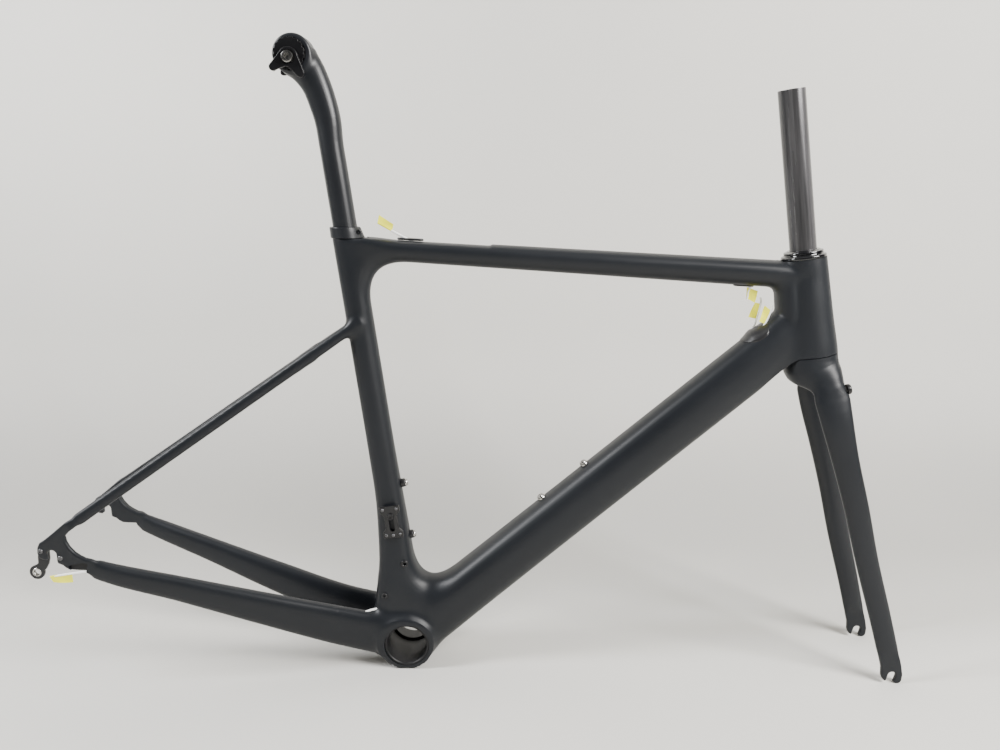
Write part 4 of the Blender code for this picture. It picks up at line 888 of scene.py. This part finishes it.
def jaw_outline():
    """A round middle with two arms below it, whose ends hold a saddle rail."""
    (rear, rear_reach), (fore, fore_reach) = (211, 0.0187), (307, 0.0200)
    tip = lambda angle, reach: (reach * math.cos(math.radians(angle)), reach * math.sin(math.radians(angle)))
    points = arc(0, 0, 0.0100, fore + 62, rear + 360 - 62, 20)
    points += arc(*tip(rear, rear_reach), 0.0041, rear - 80, rear + 80, 10)
    points += arc(0, 0, 0.0100, rear + 38, fore - 38, 5)
    points += arc(*tip(fore, fore_reach), 0.0041, fore - 80, fore + 80, 10)
    return points, tip(rear, rear_reach), tip(fore, fore_reach)


outline, rear_tip, fore_tip = jaw_outline()
rail_run = Vector((fore_tip[0] - rear_tip[0], 0, fore_tip[1] - rear_tip[1])).normalized()
for label, hand in (("right", -1), ("left", 1)):
    cradle = plate("clamp_teeth_" + label, toothed(0.0165, 0.0012, 16),
                   lambda u, v: POST_HEAD + Vector((u, 0.0138 * hand, v)), 0.0042, LEFT * hand, 0.0003)
    add(cradle, ANODISED, "clamp", ("clamp_cradle_" + label,), "anodised_black")
    jaw = plate("clamp_arm_" + label, outline, lambda u, v: PIVOT + Vector((u, 0.0183 * hand, v)), 0.0062,
                LEFT * hand, 0.0009)
    groove = lathe("groove", [(0.0036, -0.06), (0.0036, 0.06)],
                   PIVOT + Vector((rear_tip[0], 0.0190 * hand, rear_tip[1])), rail_run, 40)
    sunk = lathe("sunk", [(0.0076, 0.0052), (0.0076, 0.02)], PIVOT + LEFT * (0.0183 * hand), LEFT * hand, 48)
    add(carved(jaw, groove, sunk), ANODISED, "clamp", ("clamp_jaw_" + label,), "anodised_black")
cap_screw("clamp_screw", PIVOT - LEFT * 0.0236, -LEFT, 0.0064, 0.0052, 0.0034, 0.0480, 0.0033, STEEL, "clamp",
          ("clamp_bolt",), dome=0.22)
nut = [(0.0040, 0.0), (0.0062, 0.0, 6), (0.0062, 0.0034, 6), (0.0057, 0.0040), (0.0044, 0.0040),
       (0.0036, 0.0036), (0.0036, 0.0)]
add_ring("clamp_hex_nut", nut, PIVOT + LEFT * 0.0237, LEFT, 72, STEEL, "clamp", ("clamp_nut",), "steel",
    sharp=25.0)

# ---- bosses, mounts and screws on the frame --------------------------------------------------------------
down_run, down_up = Vector((0.7612, 0, 0.6486)), Vector((-0.6486, 0, 0.7612))
seat_mid = seat(0.1560) + SEAT_FORWARD * 0.0175
down_mid = side(0.1810, 0.2236) - down_up * 0.0005
for number, shift in ((1, -0.032), (2, 0.032)):
    for tube_name, at, axis, flange, height, finish, slot_name in (
            ("seat_tube", seat_mid + SEAT_AXIS * shift, SEAT_FORWARD, 0.0050, 0.0034, PLASTIC,
             "plastic_black"),
            ("down_tube", down_mid + down_run * shift, down_up, 0.0052, 0.0010, STEEL, "steel")):
        insert = [(flange, -0.0012), (flange, height * 0.4), (flange * 0.95, height * 0.85),
                  (flange * 0.86, height), (0.0027, height), (0.0026, -0.0100), (0.0034, -0.0100),
                  (0.0034, -0.0012)]
        add_ring(f"{tube_name}_rivnut_{number}", insert, at, axis, 56, finish, "frame",
            (f"{tube_name}_boss_{number}",), slot_name)
        cap_screw(f"{tube_name}_screw_{number}", at + axis * (height + 0.0003), axis, 0.0042, 0.0024,
                  0.0023, 0.0085, 0.0015, STEEL, "frame", (f"{tube_name}_bottle_bolt_{number}",), dome=0.45)

mount_mid = seat(0.1500, 0.0015, -0.0207)
mount_at = lambda u, v: mount_mid + SEAT_FORWARD * u + SEAT_AXIS * v
flange, waist, half = 0.0115, 0.0075, 0.0195
quarter = ((flange, half), (flange, half - 0.0070), (flange - 0.0012, half - 0.0088),
           (waist + 0.0008, half - 0.0108), (waist, half - 0.0130))
corner = lambda u, v: [(u * across, v * along) for across, along in quarter]
mount_outline = corner(1, 1) + corner(1, -1)[::-1] + corner(-1, -1) + corner(-1, 1)[::-1]
slot_shape = [(v, u) for u, v in arc(0.0085, 0, 0.0029, -90, 90, 12) + arc(-0.0085, 0, 0.0029, 90, 270, 12)]
mount = plate("derailleur_plate", mount_outline, mount_at, 0.0030, -LEFT, 0.0006)
mount = carved(mount, plate("slot", slot_shape, lambda u, v: mount_at(u, v) + LEFT * 0.002, 0.008, -LEFT, 0))
add(mount, ANODISED, "frame", ("front_derailleur_mount",), "anodised_black")
RIVETS = ((-0.0080, 0.0155), (0.0080, 0.0155), (-0.0080, -0.0155), (0.0, -0.0162), (0.0080, -0.0155))
dome = [(0.0, 0.0012), (0.0008, 0.00115), (0.0015, 0.0008), (0.0019, 0.0002), (0.0020, -0.0008), (0.0, -0.0008)]
for number, (u, v) in enumerate(RIVETS, 1):
    rivet = lathe(f"derailleur_rivet_{number}", dome, mount_at(u, v) - LEFT * 0.0030, -LEFT, 28)
    add(rivet, DARK_STEEL, "frame", (), "steel")
cap_screw("derailleur_plate_screw", mount_at(0.0, 0.0070) - LEFT * 0.0031, -LEFT, 0.0041, 0.0018, 0.0022,
          0.0028, 0.0017, ANODISED, "frame", ("mount_bolt",), "anodised_black")
insert = [(0.0041, -0.0004), (0.0041, 0.0003), (0.0038, 0.0008), (0.0033, 0.0010), (0.0024, 0.0009),
          (0.0021, 0.0006), (0.0021, -0.0080), (0.0029, -0.0080), (0.0029, -0.0004)]
add_ring("seat_tube_threaded_ring", insert, seat(0.0970, 0.0085, -0.0229), -LEFT, 48, ANODISED, "frame",
    ("seat_tube_insert",), "anodised_black")
rim = [(0.0034, -0.0010), (0.0034, 0.0002), (0.0030, 0.0005), (0.0024, 0.0003), (0.0021, -0.0004),
       (0.0021, -0.0010)]
add_ring("cable_exit_rim", rim, seat(0.0620, -0.0200, -0.0276), -LEFT, 40, PLASTIC, "frame", (),
         "plastic_black")

# ---- derailleur hanger -----------------------------------------------------------------------------------
axle_at = lambda y: (lambda u, v: side(REAR_AXLE[0] + u, REAR_AXLE[1] + v, y))
SCREWS, EYE = ((-0.0088, 0.0060), (0.0124, -0.0020)), (-0.0192, -0.0219)
hanger_outline = ([(-0.0036, -0.0060)] + arc(0.0014, 0.0006, 0.0050, 180, 0, 16) + [(0.0066, -0.0065)]
                  + arc(*SCREWS[1], 0.0058, 240, 410, 12) + [(0.0070, 0.0100), (-0.0040, 0.0115)]
                  + arc(*SCREWS[0], 0.0060, 90, 190, 9)
                  + [(-0.0164, -0.0030), (-0.0168, -0.0113), (-0.0205, -0.0138)]
                  + arc(*EYE, 0.0084, 130, 375, 24) + [(-0.0085, -0.0180), (-0.0052, -0.0120)])
hanger = plate("hanger_plate", hanger_outline, axle_at(-0.0650), 0.0035, -LEFT, 0.0005)
hanger = carved(hanger, lathe("eye", [(0.0045, -0.1), (0.0045, 0.1)], axle_at(0.0)(*EYE), LEFT, 64))
add(hanger, ANODISED, "frame", ("derailleur_hanger",), "anodised_black")
thread = [(0.0048, -0.0039), (0.0050, -0.0036), (0.0050, 0.0001), (0.0047, 0.0004), (0.0039, 0.0004)]
thread += [(0.0034 + 0.0003 * (i % 2), 0.0002 - 0.0005 * i) for i in range(9)]
add_ring("hanger_thread", thread, axle_at(-0.0686)(*EYE), -LEFT, 64, STEEL, "frame", (), "steel")
for number, (u, v) in enumerate(SCREWS, 1):
    cap_screw(f"hanger_screw_head_{number}", axle_at(-0.0749)(u, v), -LEFT, 0.0028, 0.0009, 0.0018, 0.0088,
              0.0012, DARK_STEEL, "frame", (f"hanger_screw_{number}",))

# ---- cable ports, liners and tape ------------------------------------------------------------------------
rear_run, rear_up = Vector((0.9984, 0, -0.0562)), Vector((0.0562, 0, 0.9984))
capsule = lambda half_length, radius: (arc(half_length, 0, radius, -90, 90, 14)
                                       + arc(-half_length, 0, radius, 90, 270, 14))


def liner_routes():
    """Each liner's own points, from its front end to its rear end."""
    brake = ((0.3818, 0.4345), (0.3823, 0.442), (0.38, 0.453), (0.33, 0.465), (0.2, 0.4745), (0.07, 0.483),
             (0.03, 0.49), (0.012, 0.4985), (-0.002, 0.5055), (-0.01, 0.51))
    rear_shift = ((0.408, 0.4282, -0.006), (0.4066, 0.4213, -0.006), (0.4021, 0.4098, -0.006),
                  (0.3951, 0.397, -0.006), (0.36, 0.353, -0.006), (0.24, 0.245, -0.01),
                  (0.1, 0.123, -0.012), (0.043, 0.082, -0.014), (0.0000, 0.076, -0.0175),
                  (-0.04, 0.07, -0.0225), (-0.085, 0.06, -0.0265), (-0.165, 0.083, -0.04),
                  (-0.251, 0.111, -0.054), (-0.32, 0.132, -0.064), (-0.34, 0.1388, -0.0695),
                  (-0.35, 0.1393, -0.0728), (-0.3655, 0.1372, -0.0732), (-0.385, 0.1338, -0.0732))
    front_shift = ((0.3978, 0.4358, 0.005), (0.3986, 0.4311, 0.005), (0.3945, 0.4116, 0.005),
                   (0.3895, 0.3995, 0.005), (0.36, 0.362, 0.004), (0.24, 0.256, 0.002), (0.1, 0.134, 0.000))
    routes = {"brake_liner": brake, "rear_shift_liner": rear_shift, "front_shift_liner": front_shift}
    return {name: [side(*spot) for spot in spots] for name, spots in routes.items()}


def round_section(radius):
    angles = [2 * math.pi * i / 16 for i in range(16)]
    return [(radius * math.cos(a), radius * math.sin(a)) for a in angles]


LINER_RADIUS, LINER_PLAY = 0.00125, 0.0007
bores = {}
for name, route in liner_routes().items():
    path = smooth_path(route, 0.004)
    end = lambda t: round_section(LINER_RADIUS * (0.86 if t in (0.0, 1.0) else 1.0))
    add(sweep(name + "_tube", path, end), LINER, "frame", (name,), "liner_white", sharp=60.0)
    bores[name] = sweep("bore", path, round_section(LINER_RADIUS + LINER_PLAY))


def cover_mesh():
    """A hood on the down tube's back: it ramps up from behind and wraps over the tube's shoulders."""
    points, middle = [], side(0.3905, 0.3989)
    shape = ((-0.0165, 0.30, 0.0), (-0.0150, 0.55, 0.0002), (-0.0110, 0.78, 0.0009), (-0.0065, 0.92, 0.0022),
             (-0.0025, 0.98, 0.0028), (0.0020, 1.0, 0.0019), (0.0070, 1.0, 0.0008), (0.0110, 0.94, 0.0002),
             (0.0145, 0.78, 0.0), (0.0160, 0.50, 0.0))
    half, across, under = 0.0182, 26, 0.0050
    tube_drop = lambda v: 0.0282 * (1 - (1 - min(abs(v) / 0.0230, 0.99) ** 2.5) ** (1 / 2.5))
    for u, share, rise in shape:
        ring = []
        for i in range(across + 1):
            f = -1 + 2 * i / across
            v = half * share * f
            lift = rise * (1 - abs(f) ** 3) ** 0.6 * (0.35 + 0.65 * (1 - f * f)) + 0.0006
            ring.append((v, lift - tube_drop(v)))
        ring += [(v, -under - tube_drop(v)) for v, height in ring[::-1]]
        points += [middle + down_run * u + LEFT * v + down_up * h for v, h in ring]
    return ringed_mesh("down_tube_cover", points, len(ring))


port = carved(cover_mesh(), bores["rear_shift_liner"].copy(), bores["front_shift_liner"].copy())
add(port, PLASTIC, "frame", ("down_tube_port",), "plastic_black")
for end, x, z, long, wide, thick, way, edge in (
        ("rear", 0.0110, 0.4990, 0.0100, 0.0045, 0.0024, rear_up, 0.0010),
        ("front", 0.3770, 0.4512, 0.0070, 0.0042, 0.0022, -rear_up, 0.0009)):
    grommet = plate(f"top_tube_{end}_grommet", capsule(long, wide),
                    lambda u, v: side(x, z) + rear_run * u + LEFT * v, thick, way, edge)
    grommet = carved(grommet, bores["brake_liner"].copy())
    add(grommet, PLASTIC, "frame", (f"top_tube_{end}_port",), "plastic_black")

FLAGS = (("brake_front", 0.0, ((0.3818, 0.4478), (0.3818, 0.4356)), ((0.3934, 0.4436), (0.3903, 0.4308))),
         ("brake_rear", 0.0, ((-0.0088, 0.5092), (-0.0245, 0.5180)), ((-0.0072, 0.5165), (-0.0228, 0.5262))),
         ("front_shift", 0.005, ((0.3982, 0.4290), (0.3943, 0.4122)), ((0.3921, 0.4305), (0.3857, 0.4140))),
         ("rear_shift_front", -0.006, ((0.4068, 0.4232), (0.4014, 0.4082)),
          ((0.4003, 0.4284), (0.3947, 0.4110))),
         ("rear_shift_rear", -0.0732, ((-0.3654, 0.1374), (-0.3900, 0.1331)),
          ((-0.3654, 0.1264), (-0.3874, 0.1264))))


def flag_mesh(name, y, fold, free, phase):
    """A strip of tape folded round a liner, its two ends stuck together beyond it."""
    points, rows, radius, thick = [], 14, 0.0010, 0.00014
    spread = (0.30, 0.45, 0.6, 0.8, 1.0)
    for r in range(rows + 1):
        t = r / rows
        at = side(*(a + (b - a) * t for a, b in zip(*fold)), y)
        end = side(*(a + (b - a) * t for a, b in zip(*free)), y)
        out = end - at
        reach, out = out.length, out.normalized()
        ring = [(radius * -math.cos(a), radius * math.sin(a)) for a in
                (math.radians(-100 + 200 * i / 10) for i in range(11))]
        ring += [(reach * s, (1 - s) ** 2 * 0.0008 + thick) for s in spread]
        ring += [(reach * s, -(1 - s) ** 2 * 0.0008 - thick) for s in spread[::-1]]
        for u, v in ring:
            curl = 0.0011 * math.sin(phase + 4.2 * t + 2.0 * u / reach) * (max(u, 0) / reach) ** 2
            points.append(at + out * u + LEFT * (v + curl))
    return ringed_mesh("flag_" + name, points, len(ring))


for phase, (name, y, fold, free) in enumerate(FLAGS):
    flag = flag_mesh(name, y, fold, free, phase * 1.7)
    add(flag, TAPE, "frame", ("tape_" + name,), "tape_yellow", sharp=50.0)

# ---- stage, light and camera -----------------------------------------------------------------------------
def backdrop_painted_shade_and_light(spot):
    """Painted shade darkens the paper at the foot of the wall, and a painted pool of light lightens it at the
    upper left.
    """
    foot = math.exp(-((spot.z - 0.02) / 0.16) ** 2 - ((spot.y - 0.45) / 0.38) ** 2)
    corner = math.exp(-((spot.x + 0.55) / 0.5) ** 2 - ((spot.z - 0.75) / 0.4) ** 2)
    return 0.80 - 0.26 * foot + 0.16 * corner


def backdrop():
    """A pale floor that sweeps up into a wall close behind the object."""
    rise, wall, top, reach = 0.30, 0.62, 2.6, 4.0
    profile = [(-3.5, 0.0), (-1.2, 0.0)] + [(-0.6 + 0.06 * i, 0.0) for i in range(15)] + [(wall - rise, 0.0)]
    profile += [(wall - rise + rise * math.sin(a), rise - rise * math.cos(a))
                for a in (math.pi / 2 * i / 16 for i in range(1, 17))]
    profile += [(wall, 0.36 + 0.08 * i) for i in range(12)] + [(wall, top)]
    points, faces = [], []
    columns = 81
    for y, z in profile:
        points += [Vector((-reach + 2 * reach * i / (columns - 1), y, z)) for i in range(columns)]
    for r in range(len(profile) - 1):
        for i in range(columns - 1):
            a = r * columns + i
            faces.append((a, a + 1, a + columns + 1, a + columns))
    mesh = bpy.data.meshes.new("backdrop")
    mesh.from_pydata([tuple(p) for p in points], [], faces)
    mesh.shade_smooth()
    # each point of the paper keeps its painted shade and painted light
    tint = mesh.color_attributes.new("painted_shade_and_light", "FLOAT_COLOR", "POINT")
    for spot, held in zip(points, tint.data):
        value = backdrop_painted_shade_and_light(spot)
        held.color = (value, value, value, 1)
    mesh.materials.append(backdrop_finish())
    item = new_object("backdrop", mesh)


def backdrop_finish():
    """Matt pale paper, seen from the front only."""
    material = bpy.data.materials.new("backdrop_paper")
    material.use_nodes = True
    nodes, links = material.node_tree.nodes, material.node_tree.links
    nodes.remove(nodes["Principled BSDF"])
    paper = nodes.new("ShaderNodeBsdfDiffuse")
    spot = nodes.new("ShaderNodeTexCoord")
    cloud = nodes.new("ShaderNodeTexNoise")
    fill(cloud, Scale=1.6, Detail=4.0)
    links.new(spot.outputs["Object"], cloud.inputs["Vector"])
    tone = nodes.new("ShaderNodeValToRGB")
    tone.color_ramp.elements[0].position, tone.color_ramp.elements[1].position = 0.3, 0.7
    tone.color_ramp.elements[0].color = (0.80, 0.79, 0.75, 1)
    tone.color_ramp.elements[1].color = (0.86, 0.84, 0.79, 1)
    links.new(cloud.outputs["Fac"], tone.inputs["Fac"])
    # the paper's colour is multiplied by the painted shade and painted light kept on its points
    painted_shade_and_light = nodes.new("ShaderNodeAttribute")
    painted_shade_and_light.attribute_name = "painted_shade_and_light"
    mix = nodes.new("ShaderNodeMix")
    mix.data_type, mix.blend_type = "RGBA", "MULTIPLY"
    mix.inputs["Factor"].default_value = 1.0
    links.new(tone.outputs["Color"], mix.inputs["A"])
    links.new(painted_shade_and_light.outputs["Color"], mix.inputs["B"])
    links.new(mix.outputs["Result"], paper.inputs["Color"])
    clear = nodes.new("ShaderNodeBsdfTransparent")
    facing = nodes.new("ShaderNodeNewGeometry")
    choice = nodes.new("ShaderNodeMixShader")
    links.new(facing.outputs["Backfacing"], choice.inputs["Fac"])
    links.new(paper.outputs["BSDF"], choice.inputs[1])
    links.new(clear.outputs["BSDF"], choice.inputs[2])
    links.new(choice.outputs["Shader"], nodes["Material Output"].inputs["Surface"])
    return material


backdrop()


def area_light(name, at, towards, size, power, colour):
    light = bpy.data.lights.new(name, "AREA")
    light.shape = "RECTANGLE"
    light.size, light.size_y = size
    light.energy, light.color = power, colour
    item = new_object(name, light)
    item.location = at
    item.rotation_mode = "QUATERNION"
    item.rotation_quaternion = (Vector(towards) - Vector(at)).to_track_quat("-Z", "Y")


area_light("window_right", (1.45, -0.95, 1.40), (0.15, 0.0, 0.30), (0.80, 1.00), 96, (1.0, 0.985, 0.965))
area_light("window_left", (-1.62, -0.42, 1.40), (-0.15, 0.0, 0.35), (0.45, 0.90), 54, (0.97, 0.98, 1.0))
area_light("ceiling", (0.0, -0.35, 2.5), (0.0, 0.15, 0.0), (3.0, 1.5), 12, (1.0, 0.98, 0.95))

world = bpy.data.worlds.new("studio")
world.use_nodes = True
fill(world.node_tree.nodes["Background"], Color=(0.80, 0.82, 0.84, 1), Strength=0.07)
bpy.context.scene.world = world

yaw, pitch, roll = math.radians(-1.01), math.radians(12.51), math.radians(-0.05)
look = Vector((math.sin(yaw) * math.cos(pitch), math.cos(yaw) * math.cos(pitch), -math.sin(pitch)))
lens = bpy.data.cameras.new("camera")
lens.lens, lens.sensor_width = 31.79, 36.0
lens.clip_start, lens.clip_end = 0.01, 50
camera = new_object("camera", lens)
camera.location = (0.0492, -0.9745, 0.5644)
camera.rotation_mode = "QUATERNION"
camera.rotation_quaternion = look.to_track_quat("-Z", "Y") @ Matrix.Rotation(roll, 3, "Z").to_quaternion()
bpy.context.scene.camera = camera
